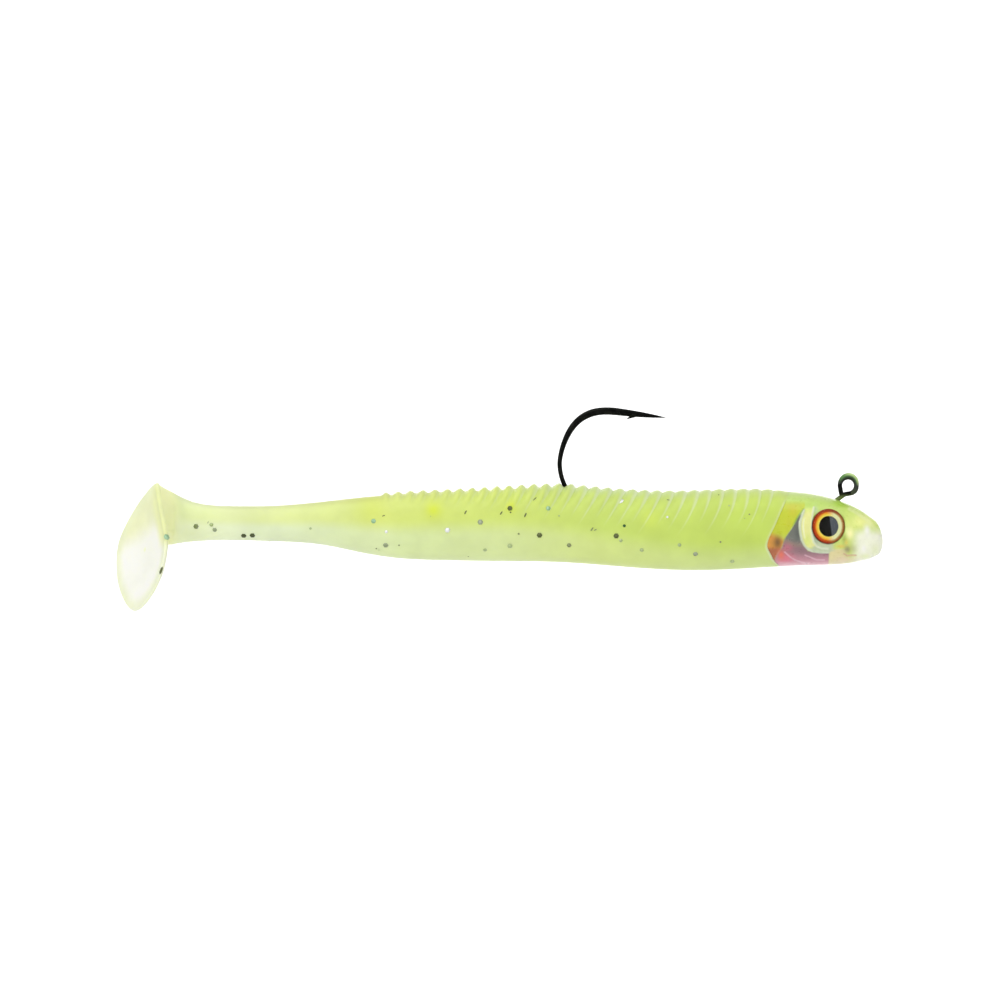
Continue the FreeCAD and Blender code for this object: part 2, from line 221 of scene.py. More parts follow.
def body_section(x, angle, inset=0.0):
    """Points of the soft body's section at x: sideways, height, and the drop from the back."""
    top, bottom, half = body_top(x), body_bottom(x), body_half(x)
    side, up = rounded(angle, SECTION_POWER)
    height = (top + bottom) / 2 + up * ((top - bottom) / 2 - inset)
    return side * (half - inset), height, top - height


def make_piece(name, points, faces, material, values=None, sharp=None):
    """A smooth mesh object from points in millimetres, turned outwards, with named values at its points."""
    points = np.asarray(points, float) * MM
    sample = np.array([points[list(f[:3])] for f in faces])
    volume = np.einsum("ij,ij->i", sample[:, 0], np.cross(sample[:, 1], sample[:, 2])).sum()
    fourth = np.array([points[list(f[i] for i in (0, 2, 3))] for f in faces if len(f) == 4])
    if len(fourth):
        volume += np.einsum("ij,ij->i", fourth[:, 0], np.cross(fourth[:, 1], fourth[:, 2])).sum()
    if volume < 0:
        faces = [tuple(reversed(f)) for f in faces]
    mesh = bpy.data.meshes.new(name)
    mesh.from_pydata([tuple(p) for p in points], [], faces)
    mesh.polygons.foreach_set("use_smooth", [True] * len(mesh.polygons))
    for key, data in (values or {}).items():
        mesh.attributes.new(key, "FLOAT", "POINT").data.foreach_set("value", np.asarray(data, np.float32))
    if sharp is not None:
        flags = [e.vertices[0] in sharp and e.vertices[1] in sharp for e in mesh.edges]
        mesh.attributes.new("sharp_edge", "BOOLEAN", "EDGE").data.foreach_set("value", flags)
    mesh.materials.append(material)
    mesh.update()
    piece = bpy.data.objects.new(name, mesh)
    bpy.context.collection.objects.link(piece)
    return piece


def tube_faces(rings, around):
    """Quads between closed rings of points, and a fan to one extra point at each end."""
    faces = []
    for i in range(rings - 1):
        for j in range(around):
            k = (j + 1) % around
            faces.append((i * around + j, i * around + k, (i + 1) * around + k, (i + 1) * around + j))
    first, last = rings * around, rings * around + 1
    end = (rings - 1) * around
    for j in range(around):
        k = (j + 1) % around
        faces.append((first, k, j))
        faces.append((last, end + j, end + k))
    return faces


def make_tube(name, rings, material, values=None, sharp_ends=(True, True)):
    """A closed tube from an array of rings, capped at both ends."""
    count, around = rings.shape[:2]
    points = np.vstack([rings.reshape(-1, 3), rings[0].mean(0), rings[-1].mean(0)])
    filled = {}
    for key, data in (values or {}).items():
        filled[key] = np.concatenate([data.reshape(-1), [data[0].mean()], [data[-1].mean()]])
    sharp = set()
    if sharp_ends[0]:
        sharp |= set(range(around))
    if sharp_ends[1]:
        sharp |= set(range((count - 1) * around, count * around))
    return make_piece(name, points, tube_faces(count, around), material, filled, sharp)


# ---- Node helpers ----

def node(tree, kind, inputs=None, **settings):
    """Adds a node; each input is given by name or number, as a value or as a socket to link."""
    made = tree.nodes.new(kind)
    for key, value in settings.items():
        setattr(made, key, value)
    for key, value in (inputs or {}).items():
        if isinstance(value, bpy.types.NodeSocket):
            tree.links.new(value, made.inputs[key])
        else:
            made.inputs[key].default_value = value
    return made


def math_node(tree, operation, *values):
    return node(tree, "ShaderNodeMath", dict(enumerate(values)), operation=operation).outputs[0]


def map_range(tree, value, low, high, to_low=0.0, to_high=1.0, kind="SMOOTHSTEP"):
    inputs = {"Value": value, "From Min": low, "From Max": high, "To Min": to_low, "To Max": to_high}
    return node(tree, "ShaderNodeMapRange", inputs, interpolation_type=kind).outputs[0]


def mix_colour(tree, share, first, second, blend="MIX"):
    mixed = node(tree, "ShaderNodeMix", {0: share, 6: first, 7: second}, data_type="RGBA", blend_type=blend)
    return mixed.outputs[2]


def attribute(tree, name):
    return node(tree, "ShaderNodeAttribute", attribute_name=name).outputs["Fac"]


def colour_ramp(tree, value, stops):
    ramp = node(tree, "ShaderNodeValToRGB", {0: value})
    elements = ramp.color_ramp.elements
    while len(elements) < len(stops):
        elements.new(0.5)
    for element, (place, colour) in zip(elements, stops):
        element.position = place
        element.color = colour
    return ramp.outputs[0]


def noise(tree, scale, detail=3.0, stretch=(1, 1, 1)):
    """Noise over the piece's own coordinates, with features of about 1 / scale metres."""
    place = node(tree, "ShaderNodeTexCoord").outputs["Object"]
    mapped = node(tree, "ShaderNodeMapping", {"Vector": place, "Scale": stretch}).outputs[0]
    inputs = {"Vector": mapped, "Scale": scale, "Detail": detail}
    return node(tree, "ShaderNodeTexNoise", inputs).outputs["Fac"]


def own_place(tree):
    """The piece's own X, Y and Z, in metres."""
    place = node(tree, "ShaderNodeTexCoord").outputs["Object"]
    return node(tree, "ShaderNodeSeparateXYZ", {0: place}).outputs


def new_finish(name, **fixed):
    """A material with a principled shader, its constant values set on the shader's own sockets."""
    material = bpy.data.materials.new(name)
    material.use_nodes = True
    shader = material.node_tree.nodes["Principled BSDF"]
    for key, value in fixed.items():
        shader.inputs[key.replace("_", " ")].default_value = value
    return material, material.node_tree, shader


def rough(tree, shader, cloud, low, high):
    """Roughness that wanders between two values with a noise."""
    tree.links.new(map_range(tree, cloud, 0.3, 0.7, low, high), shader.inputs["Roughness"])


def multiply(tree, first, second):
    return math_node(tree, "MULTIPLY", first, second)


def cloudy(tree, colour, cloud, low, high):
    """Makes a colour a little darker and lighter with a noise."""
    share = map_range(tree, cloud, 0.3, 0.7, low, high)
    grey = node(tree, "ShaderNodeCombineColor", {0: share, 1: share, 2: share}).outputs[0]
    return mix_colour(tree, 1.0, colour, grey, "MULTIPLY")


def bump(tree, shader, height, distance, strength=1.0):
    made = node(tree, "ShaderNodeBump", {"Height": height, "Distance": distance, "Strength": strength})
    tree.links.new(made.outputs[0], shader.inputs["Normal"])


def group_input(tree, name, kind, value=None):
    socket = tree.interface.new_socket(name=name, in_out="INPUT", socket_type=kind)
    if value is not None:
        socket.default_value = value
    return socket.identifier


def new_geometry_tree(name, numbers):
    """A geometry tree with named numbers and a finish as its inputs, with its input and output nodes."""
    tree = bpy.data.node_groups.new(name, "GeometryNodeTree")
    tree.interface.new_socket(name="Geometry", in_out="INPUT", socket_type="NodeSocketGeometry")
    for key, value in numbers.items():
        kind = "NodeSocketInt" if isinstance(value, int) else "NodeSocketFloat"
        group_input(tree, key, kind, value)
    group_input(tree, "Finish", "NodeSocketMaterial")
    tree.interface.new_socket(name="Geometry", in_out="OUTPUT", socket_type="NodeSocketGeometry")
    return tree, tree.nodes.new("NodeGroupInput"), tree.nodes.new("NodeGroupOutput")


def finish_geometry_tree(tree, start, end, geometry):
    realized = node(tree, "GeometryNodeRealizeInstances", {"Geometry": geometry}).outputs[0]
    inputs = {"Geometry": realized, "Material": start.outputs["Finish"]}
    coated = node(tree, "GeometryNodeSetMaterial", inputs)
    tree.links.new(coated.outputs[0], end.inputs[0])


def grow(base, tree, name, values, finish):
    """Runs a geometry tree on a piece, and returns the result as a plain mesh object of its own."""
    modifier = base.modifiers.new(tree.name, "NODES")
    modifier.node_group = tree
    for item in tree.interface.items_tree:
        if item.in_out == "INPUT" and item.name in values:
            modifier[item.identifier] = values[item.name]
        elif item.in_out == "INPUT" and item.name == "Finish":
            modifier[item.identifier] = finish
    graph = bpy.context.evaluated_depsgraph_get()
    mesh = bpy.data.meshes.new_from_object(base.evaluated_get(graph), preserve_all_data_layers=True,
                                           depsgraph=graph)
    base.modifiers.remove(modifier)
    if mesh.materials[0] is None:
        mesh.materials.pop(index=0)
    mesh.name = name
    grown = bpy.data.objects.new(name, mesh)
    bpy.context.collection.objects.link(grown)
    return grown


# ---- Finishes ----

# Colours along the body, by X. The paler back is painted light, where more light comes through the thin
# plastic at the top; the belly is a pearl tint, made paler still by painted light through the thin plastic
# there.
SPINE_COLOURS = [(-98, (223, 232, 182)), (-86, (219, 228, 164)), (-74, (211, 219, 134)),
                 (-67, (217, 227, 141)), (-52, (210, 224, 120)), (-37, (205, 225, 146)),
                 (-15, (202, 220, 134))]
FLANK_COLOURS = [(-98, (227, 237, 178)), (-86, (224, 234, 164)), (-67, (214, 227, 125)),
                 (-52, (209, 225, 117)), (-37, (201, 221, 112)), (-15, (197, 219, 99))]
BELLY_COLOURS = [(-98, (238, 247, 205)), (-86, (225, 236, 196)), (-67, (219, 233, 171)),
                 (-52, (217, 231, 162)), (-37, (214, 229, 140)), (-15, (206, 224, 140))]


def along_body(tree, stops):
    """A colour that changes along X, from stops in millimetres."""
    low, high = stops[0][0], stops[-1][0]
    share = map_range(tree, own_place(tree)[0], low * MM, high * MM, kind="LINEAR")
    return colour_ramp(tree, share, [((s - low) / (high - low), srgb(*colour)) for s, colour in stops])


def soft_plastic():
    """Translucent soft plastic: chartreuse flank, a back paled with painted light through its thin plastic, a
    pearl belly paled further by painted light, near white at the paddle.
    """
    material, tree, shader = new_finish(
        "soft_plastic", Subsurface_Scale=0.0011, Subsurface_Radius=(1.0, 1.0, 0.55), Specular_IOR_Level=0.35,
        Coat_Weight=0.12, Coat_Roughness=0.28,
    )
    flank, belly, spine = (along_body(tree, stops) for stops in (FLANK_COLOURS, BELLY_COLOURS, SPINE_COLOURS))
    # The belly's pearl tint with its painted light, then the painted light of the paler back
    colour = mix_colour(tree, attribute(tree, "belly"), flank, belly)
    colour = mix_colour(tree, attribute(tree, "spine"), colour, spine)
    colour = mix_colour(tree, multiply(tree, attribute(tree, "glow"), 0.85), colour, srgb(219, 232, 62))
    # The pale colour mixed in here is a painted highlight along the rib creases and along the lip at the
    # gills
    line = math_node(tree, "MAXIMUM", attribute(tree, "rib_crease_highlight"), attribute(tree, "lip"))
    colour = mix_colour(tree, multiply(tree, line, 0.6), colour, srgb(236, 243, 214))
    tail = mix_colour(tree, attribute(tree, "paddle_low"), srgb(241, 245, 200), srgb(254, 255, 240))
    tail = mix_colour(tree, multiply(tree, attribute(tree, "paddle_rim"), 0.8), tail, srgb(236, 243, 204))
    colour = mix_colour(tree, attribute(tree, "paddle"), colour, tail)
    # Painted shade: the paddle's rim beside the web is coloured darker than the root, to cancel the light on
    # its rounded edge
    root = mix_colour(tree, attribute(tree, "web_rim_shade"), srgb(243, 248, 186), srgb(227, 233, 172))
    colour = mix_colour(tree, attribute(tree, "root"), colour, root)
    colour = cloudy(tree, colour, noise(tree, 220, 4), 0.96, 1.035)
    tree.links.new(colour, shader.inputs["Base Color"])
    rough(tree, shader, noise(tree, 900), 0.36, 0.46)
    tree.links.new(multiply(tree, attribute(tree, "depth"), 0.4), shader.inputs["Subsurface Weight"])
    bump(tree, shader, noise(tree, 1400, 2), 0.00003, 0.5)
    return material


def glitter():
    """Metal flakes cast in the plastic: mostly dark and grey, with some silver and green."""
    material, tree, shader = new_finish("glitter_flakes", Metallic=0.3, Roughness=0.38)
    tone = attribute(tree, "flake_tone")
    stops = [(0.0, (84, 92, 56)), (0.1, (112, 120, 74)), (0.3, (146, 156, 112)), (0.5, (170, 180, 150)),
             (0.7, (188, 204, 150)), (0.8, (250, 252, 250)), (0.9, (58, 106, 56)), (0.95, (176, 212, 176))]
    ramp = colour_ramp(tree, tone, [(place, srgb(*colour)) for place, colour in stops])
    ramp.node.color_ramp.interpolation = "CONSTANT"
    shade = mix_colour(tree, map_range(tree, noise(tree, 2500), 0.35, 0.65), ramp, srgb(150, 156, 140),
                       "SOFT_LIGHT")
    tree.links.new(shade, shader.inputs["Base Color"])
    return material


def black_nickel():
    """Black nickel wire, with pale green paint from the head over the eye's crown and the neck."""
    material, tree, shader = new_finish("black_nickel")
    x, _, z = own_place(tree)
    crown = math_node(tree, "ADD", multiply(tree, x, 0.62), multiply(tree, z, 0.78))
    rough_edge = multiply(tree, math_node(tree, "SUBTRACT", noise(tree, 1500), 0.5), 0.0008)
    paint = map_range(tree, math_node(tree, "ADD", crown, rough_edge), 0.00105, 0.00145)
    neck = multiply(tree, map_range(tree, z, -0.0011, -0.002), map_range(tree, x, -0.006, -0.0045))
    steel = mix_colour(tree, map_range(tree, noise(tree, 700), 0.35, 0.65), srgb(17, 18, 17),
                       srgb(30, 31, 28))
    colour = mix_colour(tree, neck, steel, srgb(98, 116, 52))
    colour = mix_colour(tree, multiply(tree, paint, 0.8), colour, srgb(176, 206, 116))
    tree.links.new(colour, shader.inputs["Base Color"])
    bare = math_node(tree, "SUBTRACT", 1.0, math_node(tree, "MAXIMUM", paint, neck))
    tree.links.new(bare, shader.inputs["Metallic"])
    rough(tree, shader, noise(tree, 1800), 0.24, 0.36)
    return material


def tie_paint():
    """Head paint over the line tie: nearly black inside, and green on its outer side, turning to a painted
    pale lime highlight towards the nose.
    """
    material, tree, shader = new_finish("line_tie_paint", Specular_IOR_Level=0.4)
    dark = mix_colour(tree, attribute(tree, "tie_low"), srgb(22, 30, 22), srgb(48, 58, 30))
    dark = mix_colour(tree, map_range(tree, noise(tree, 1600), 0.35, 0.65, 0.0, 0.3), dark, srgb(40, 54, 36))
    green = mix_colour(tree, attribute(tree, "tie_highlight"), srgb(92, 140, 72), srgb(196, 222, 146))
    tree.links.new(mix_colour(tree, attribute(tree, "tie_green"), dark, green), shader.inputs["Base Color"])
    rough(tree, shader, noise(tree, 2200), 0.3, 0.5)
    return material


def speckled(name, first, second, tone_scale, rough_scale, low, high, **fixed):
    """A finish that wanders between two close tones, and in how rough it is."""
    material, tree, shader = new_finish(name, **fixed)
    tone = mix_colour(tree, map_range(tree, noise(tree, tone_scale), 0.3, 0.7), srgb(*first), srgb(*second))
    tree.links.new(tone, shader.inputs["Base Color"])
    rough(tree, shader, noise(tree, rough_scale), low, high)
    return material, tree, shader


def cast_metal():
    material, tree, shader = speckled(
        "cast_weight_metal", (120, 122, 124), (168, 168, 166), 900, 2400, 0.4, 0.6, Metallic=0.8)
    bump(tree, shader, noise(tree, 2600), 0.00004)
    return material


def rattle_plastic():
    return speckled("rattle_plastic", (214, 214, 204), (232, 232, 224), 1200, 2000, 0.3, 0.42,
                    Specular_IOR_Level=0.5)[0]


def ball_steel():
    return speckled("ball_steel", (150, 152, 156), (186, 188, 190), 1500, 3000, 0.12, 0.2, Metallic=1.0)[0]


def printed_foil():
    """Silver foil that turns pink towards the throat."""
    material, tree, shader = new_finish("printed_foil", Metallic=0.85)
    fade = map_range(tree, own_place(tree)[2], -0.0105, -0.0075)
    tree.links.new(mix_colour(tree, fade, srgb(224, 150, 172), srgb(186, 186, 188)),
                   shader.inputs["Base Color"])
    rough(tree, shader, noise(tree, 2000), 0.22, 0.34)
    return material


# The head's layers of colour, in the order they go on: the mask's name, how much of it shows, and its colour.
# Most are print; the pale band along the top and the shines down the snout and nose are painted highlights,
# and plate_shade is painted shade.
HEAD_PAINT = [
    ("crown_lime", 0.9, (184, 216, 88)),
    ("crown_highlight", 0.6, (204, 225, 146)),
    ("snout_yellow", 0.9, (246, 250, 156)),
    ("hook_green", 0.9, (172, 212, 66)),
    ("nose_clear", 0.95, (251, 253, 230)),
    ("jaw_tint", 0.7, (230, 240, 178)),
    ("band_yellow", 1.0, (196, 207, 46)),
    ("band_gold", 0.6, (206, 196, 46)),
    ("band_low", 1.0, (214, 146, 50)),
    ("band_brown", 1.0, (122, 84, 20)),
    ("band_rust", 0.9, (170, 92, 56)),
    ("cheek_silver", 1.0, (120, 122, 114)),
    ("cheek_dark", 0.6, (88, 94, 88)),
    ("cheek_mauve", 1.0, (145, 111, 118)),
    ("cheek_pink", 1.0, (197, 135, 150)),
    ("cheek_rose", 0.85, (226, 112, 132)),
    ("band_red", 0.95, (228, 112, 84)),
    ("throat_pale", 0.85, (228, 168, 180)),
    ("throat_arc", 0.6, (232, 190, 204)),
    ("chin_cream", 0.95, (227, 214, 158)),
    ("jaw_peach", 0.7, (238, 214, 186)),
    ("plate_edge", 1.0, (204, 214, 184)),
    ("plate_yellow", 1.0, (232, 233, 150)),
    ("plate_lime", 0.8, (216, 230, 118)),
    ("plate_gleam", 0.9, (238, 243, 202)),
    ("plate_under", 0.95, (194, 206, 170)),
    ("plate_shade", 0.7, (148, 166, 136)),
    ("plate_mint", 0.75, (178, 206, 152)),
    ("inner_gleam", 0.85, (222, 228, 200)),
    ("gill_line", 0.8, (132, 172, 52)),
    ("eye_green", 0.75, (150, 172, 66)),
    ("eye_patch", 0.95, (255, 252, 178)),
    ("eye_streak", 0.9, (226, 204, 88)),
    ("chin_spot", 0.8, (140, 130, 98)),
    ("mouth_line", 0.7, (208, 160, 130)),
    ("snout_shine", 0.4, (240, 244, 186)),
    ("nose_shine", 0.9, (255, 255, 244)),
]


def head_plastic():
    """The head as seen through its clear shell: printed paint under a hard gloss, with painted highlights
    along the top and down the snout and nose.
    """
    material, tree, shader = new_finish(
        "head_paint", Subsurface_Scale=0.0006, Subsurface_Radius=(1.0, 1.0, 0.6), Subsurface_Weight=0.12,
        Specular_IOR_Level=0.4, Coat_Weight=0.6, Coat_Roughness=0.1, Coat_IOR=1.45,
    )
    base = colour_ramp(tree, attribute(tree, "height"), [(0.35, srgb(204, 222, 112)),
                                                         (0.75, srgb(196, 222, 104))])
    for mask, share, colour in HEAD_PAINT:
        base = mix_colour(tree, multiply(tree, attribute(tree, mask), share), base, srgb(*colour))
    base = cloudy(tree, base, noise(tree, 1300, 3, (1.3, 1, 0.8)), 0.97, 1.025)
    tree.links.new(base, shader.inputs["Base Color"])
    tree.links.new(multiply(tree, attribute(tree, "cheek_silver"), 0.55), shader.inputs["Metallic"])
    rough(tree, shader, noise(tree, 1300, 4, (1, 1, 1.4)), 0.26, 0.42)
    return material


def eye_print():
    """The printed eye: black pupil, an iris from gold at the rear to pale at the front, and a red rim."""
    material, tree, shader = new_finish("eye_print", Specular_IOR_Level=0.05)
    ahead, up = attribute(tree, "eye_ahead"), attribute(tree, "eye_up")
    rays = noise(tree, 3500, 2)
    reach = math_node(tree, "MULTIPLY_ADD", math_node(tree, "SUBTRACT", rays, 0.5), 0.03,
                      attribute(tree, "eye_reach"))
    gold = colour_ramp(tree, reach, [
        (0.0, srgb(6, 7, 7)), (0.57, srgb(8, 8, 8)), (0.605, srgb(254, 232, 100)), (0.68, srgb(254, 214, 74)),
        (0.76, srgb(246, 168, 50)), (0.82, srgb(214, 92, 28)), (0.9, srgb(196, 70, 26)),
        (0.96, srgb(160, 54, 26)),
        (1.0, srgb(110, 54, 30)),
    ])
    pale = colour_ramp(tree, reach, [
        (0.0, srgb(6, 7, 7)), (0.57, srgb(8, 8, 8)), (0.605, srgb(238, 240, 178)),
        (0.78, srgb(240, 243, 184)),
        (0.83, srgb(210, 188, 118)), (0.9, srgb(172, 112, 60)), (0.96, srgb(160, 102, 52)),
        (1.0, srgb(128, 98, 46)),
    ])
    colour = mix_colour(tree, map_range(tree, ahead, -0.1, 0.45), gold, pale)
    crown = multiply(tree, map_range(tree, up, 0.5, 0.85), map_range(tree, reach, 0.8, 0.86))
    colour = mix_colour(tree, multiply(tree, crown, 0.7), colour, srgb(152, 66, 44))
    slanted = math_node(tree, "MULTIPLY_ADD", up, 0.14, ahead)
    sheen = multiply(tree, map_range(tree, slanted, 0.08, 0.16), map_range(tree, reach, 0.59, 0.565))
    colour = mix_colour(tree, multiply(tree, sheen, 0.85), colour, srgb(92, 98, 106))
    tree.links.new(colour, shader.inputs["Base Color"])
    rough(tree, shader, rays, 0.3, 0.45)
    return material


def clear_resin():
    material, tree, shader = new_finish(
        "clear_resin", Base_Color=(1, 1, 1, 1), Transmission_Weight=1.0, IOR=1.08, Specular_IOR_Level=0.3)
    rough(tree, shader, noise(tree, 1800), 0.0, 0.03)
    return material


SOFT = soft_plastic()
GLITTER = glitter()
HEAD = head_plastic()
EYE = eye_print()
CLEAR = clear_resin()


# ---- Ribs and glitter, as rules over a skin ----

def point_value(tree, name):
    return node(tree, "GeometryNodeInputNamedAttribute", {"Name": name}, data_type="FLOAT").outputs[0]


def random_share(tree, seed, offset):
    """A random number from 0 to 1 for each flake, from the tree's seed and an offset of its own."""
    inputs = {2: 0.0, 3: 1.0, "Seed": math_node(tree, "ADD", seed, offset)}
    return node(tree, "FunctionNodeRandomValue", inputs, data_type="FLOAT").outputs[1]


def rib_tree():
    """Raises rounded ribs on a skin that carries rib_turn, a count of ribs, and rib_height, in metres.

    Each rib leans forward: it rises over most of its width to a crest, then drops to a fine crease, where the
    soft plastic's colour carries a painted highlight.
    """
    tree, start, end = new_geometry_tree("back_ribs", {"Crest": RIB_CREST})
    turn, height, power = (point_value(tree, name) for name in ("rib_turn", "rib_height", "rib_power"))
    share = math_node(tree, "FRACT", turn)
    crest = start.outputs["Crest"]
    rise = math_node(tree, "DIVIDE", share, crest)
    fall = math_node(tree, "DIVIDE", math_node(tree, "SUBTRACT", 1.0, share),
                     math_node(tree, "SUBTRACT", 1.0, crest))
    nearer = math_node(tree, "MINIMUM", math_node(tree, "MINIMUM", rise, fall), 1.0)
    arch = math_node(tree, "POWER", math_node(tree, "SINE", multiply(tree, nearer, math.pi / 2)), power)
    normal = node(tree, "GeometryNodeInputNormal").outputs[0]
    lift = {0: normal, "Scale": multiply(tree, arch, height)}
    offset = node(tree, "ShaderNodeVectorMath", lift, operation="SCALE").outputs[0]
    raised = node(tree, "GeometryNodeSetPosition", {"Geometry": start.outputs["Geometry"], "Offset": offset})
    finish_geometry_tree(tree, start, end, raised.outputs[0])
    return tree


def glitter_tree():
    """Scatters small six-sided flakes over a skin, most of them flat in it and some nearly on edge."""
    tree, start, end = new_geometry_tree("glitter_flakes", {
        "Flakes per square metre": 30000.0, "Seed": 1, "Smallest": 0.0001, "Largest": 0.0004,
        "Thickness": 0.00003, "Tilt": 0.2, "Narrowness": 1.0,
    })
    sizes = start.outputs
    seed, tilt = sizes["Seed"], sizes["Tilt"]
    density = multiply(tree, point_value(tree, "glitter"), sizes["Flakes per square metre"])
    scattered = node(tree, "GeometryNodeDistributePointsOnFaces", {
        "Mesh": sizes["Geometry"], "Density": density, "Seed": seed,
    }, distribute_method="RANDOM")
    hexagon = {"Vertices": 6, "Radius": 1.0, "Depth": sizes["Thickness"]}
    flake = node(tree, "GeometryNodeMeshCylinder", hexagon)
    low = node(tree, "ShaderNodeCombineXYZ", {0: multiply(tree, tilt, -1.0), 2: -math.pi}).outputs[0]
    high = node(tree, "ShaderNodeCombineXYZ", {0: tilt, 2: math.pi}).outputs[0]
    lean = node(tree, "FunctionNodeRandomValue", {0: low, 1: high, "Seed": seed}, data_type="FLOAT_VECTOR")
    lean = node(tree, "FunctionNodeEulerToRotation", {0: lean.outputs[0]}).outputs[0]
    turned = node(tree, "FunctionNodeRotateRotation", {0: scattered.outputs["Rotation"], 1: lean},
                  rotation_space="LOCAL")
    spread = math_node(tree, "SUBTRACT", sizes["Largest"], sizes["Smallest"])
    size = math_node(tree, "ADD", sizes["Smallest"], multiply(tree, random_share(tree, seed, 7.0), spread))
    narrow = multiply(tree, size, sizes["Narrowness"])
    placed = node(tree, "GeometryNodeInstanceOnPoints", {
        "Points": scattered.outputs["Points"], "Instance": flake.outputs[0], "Rotation": turned.outputs[0],
        "Scale": node(tree, "ShaderNodeCombineXYZ", {0: size, 1: narrow, 2: 1.0}).outputs[0],
    })
    stored = node(tree, "GeometryNodeStoreNamedAttribute", {
        "Geometry": placed.outputs[0], "Name": "flake_tone", "Value": random_share(tree, seed, 19.0),
    }, data_type="FLOAT", domain="INSTANCE")
    finish_geometry_tree(tree, start, end, stored.outputs[0])
    return tree


# ---- Soft skins ----

# Spots where the plastic glows a stronger yellow: X, Z, reach, strength
GLOWS = [(-61.9, -3.6, 1.15, 1.0), (-50.4, -3.2, 0.8, 0.9), (-71.0, -3.5, 2.4, 0.45),
         (-29.5, -5.0, 1.6, 0.25)]
# How far down the side the paler belly starts, by X
belly_starts = steps([(-100, 0.36), (-67, 0.38), (-52, 0.36), (-37, 0.46), (-20, 0.62)])
rib_height = steps(RIB_HEIGHT)
rib_reach = steps(RIB_REACH)
rib_power = steps(RIB_POWER)
rib_highlight_strength = steps(RIB_HIGHLIGHT_STRENGTH)


def skin_values(points):
    """The values that the soft plastic and the glitter read, for an array of points in millimetres."""
    x, y, z = points[..., 0], points[..., 1], points[..., 2]
    top, bottom = body_top(x), body_bottom(x)
    down = np.clip((top - z) / (top - bottom), 0, 1)
    start = belly_starts(x)
    glow = np.zeros_like(x)
    for gx, gz, size, share in GLOWS:
        glow = np.maximum(glow, share * np.exp(-((x - gx) ** 2 + (z - gz) ** 2) / size**2) * (y < 0))
    from_seam = np.minimum(np.abs(x - FRONT_SEAM), np.abs(x - REAR_SEAM))
    along = smoothstep(-24, -44, x) * 0.8 + 0.2
    return {
        "belly": smoothstep(start, start + 0.3, down),
        "spine": 1 - smoothstep(0.0, 0.14, down),
        "glow": glow,
        "depth": smoothstep(0.3, 3.5, from_seam),
        "glitter": along * smoothstep(0.08, 0.3, down) * (1 - 0.75 * smoothstep(0.75, 0.95, down)) * (y > 0),
    }


def rib_shift(u, drop):
    """How far back a rib's line has moved at a drop from the back: straight at the rear, curved in front."""
    ahead = smoothstep(-32, -12, u)
    drop = np.minimum(drop, 4.5 + 3.0 * smoothstep(-62, -24, u))
    return (0.53 * (1 - ahead) + 0.02) * drop + (0.008 + 0.052 * ahead) * drop**2


def front_skin():
    """The soft body from the gills to the front seam, with its mesh laid along the ribs."""
    start = float(gill_x(-0.8)) - SEAM_GAP
    u = np.concatenate([[start, start - 0.04, start - 0.1, start - 0.2],
                        np.arange(start - 0.32, FRONT_SEAM, -0.125)])
    u = np.concatenate([u, [FRONT_SEAM + SEAM_GAP / 2]])[:, None]
    angle = np.linspace(0, 2 * np.pi, SKIN_AROUND, endpoint=False)[None, :]
    _, z, drop = body_section(u + 0 * angle, angle)
    to_gill = smoothstep(start - 6, start, u)
    to_seam = smoothstep(FRONT_SEAM + 8, FRONT_SEAM, u)
    along_ribs = u - rib_shift(u, drop) * (1 - to_seam)
    edge = np.clip(1 - (start - u) / LIP_ROUND, 0, 1)
    inset = LIP_ROUND * (1 - np.sqrt(1 - edge**2)) * smoothstep(4.0, 9.0, drop)
    for _ in range(6):
        x = along_ribs + to_gill * (gill_x(z) - SEAM_GAP - along_ribs - (start - u))
        y, z, drop = body_section(x, angle, inset)
    points = np.stack([x, y, z], -1)
    fade = 1 - smoothstep(0.1, 0.85, drop / rib_reach(u))
    values = skin_values(points)
    turn = (u - LAST_RIB) / RIB_PITCH + 10 + RIB_CREST + 0 * drop
    values["rib_turn"] = turn
    values["rib_height"] = rib_height(u) * fade * MM
    values["rib_power"] = rib_power(u) + 0 * drop
    # A painted highlight in each rib's crease: its width, length and strength
    width = 0.065 + 0.1 * smoothstep(0.5, 0.0, drop / rib_reach(u))
    crease = np.exp(-(((turn % 1) - 0.9) / width) ** 2)
    length = rib_reach(u) * (0.86 + 0.16 * np.sin(np.floor(turn) * 2.4))
    long_fade = 1 - smoothstep(0.25, 1.0, drop / length)
    values["rib_crease_highlight"] = crease * long_fade * rib_highlight_strength(u) * smoothstep(0.0, 0.2, rib_height(u))
    # A painted highlight along the soft body's lip at the gills
    lip_highlight = 0.45 * smoothstep(0.6, 2.0, drop) + 0.4 * smoothstep(7.0, 9.5, drop)
    values["lip"] = smoothstep(0.5, 0.12, start - u) * lip_highlight
    base = make_tube("front_skin_plain", points, SOFT, values)
    skin = grow(base, rib_tree(), "soft_body_front", {}, SOFT)
    bpy.data.objects.remove(base)
    return skin


def middle_skin():
    """The plain tapering skin between the two seams."""
    x = np.linspace(FRONT_SEAM - SEAM_GAP / 2, REAR_SEAM + SEAM_GAP / 2, 90)[:, None]
    angle = np.linspace(0, 2 * np.pi, SKIN_AROUND, endpoint=False)[None, :]
    y, z, _ = body_section(x, angle)
    points = np.stack([x + 0 * angle, y, z], -1)
    return make_tube("soft_body_middle", points, SOFT, skin_values(points))


HINGE_X = next(j for j in frame["joints"] if j["name"] == "paddle_kick")["pos_m"][0] / MM
paddle_back = spline(PADDLE_LINE)
paddle_shape = spline(PADDLE_SHAPE)
PADDLE_TOP, PADDLE_LOW = PADDLE_LINE[0][0], PADDLE_LINE[-1][0]


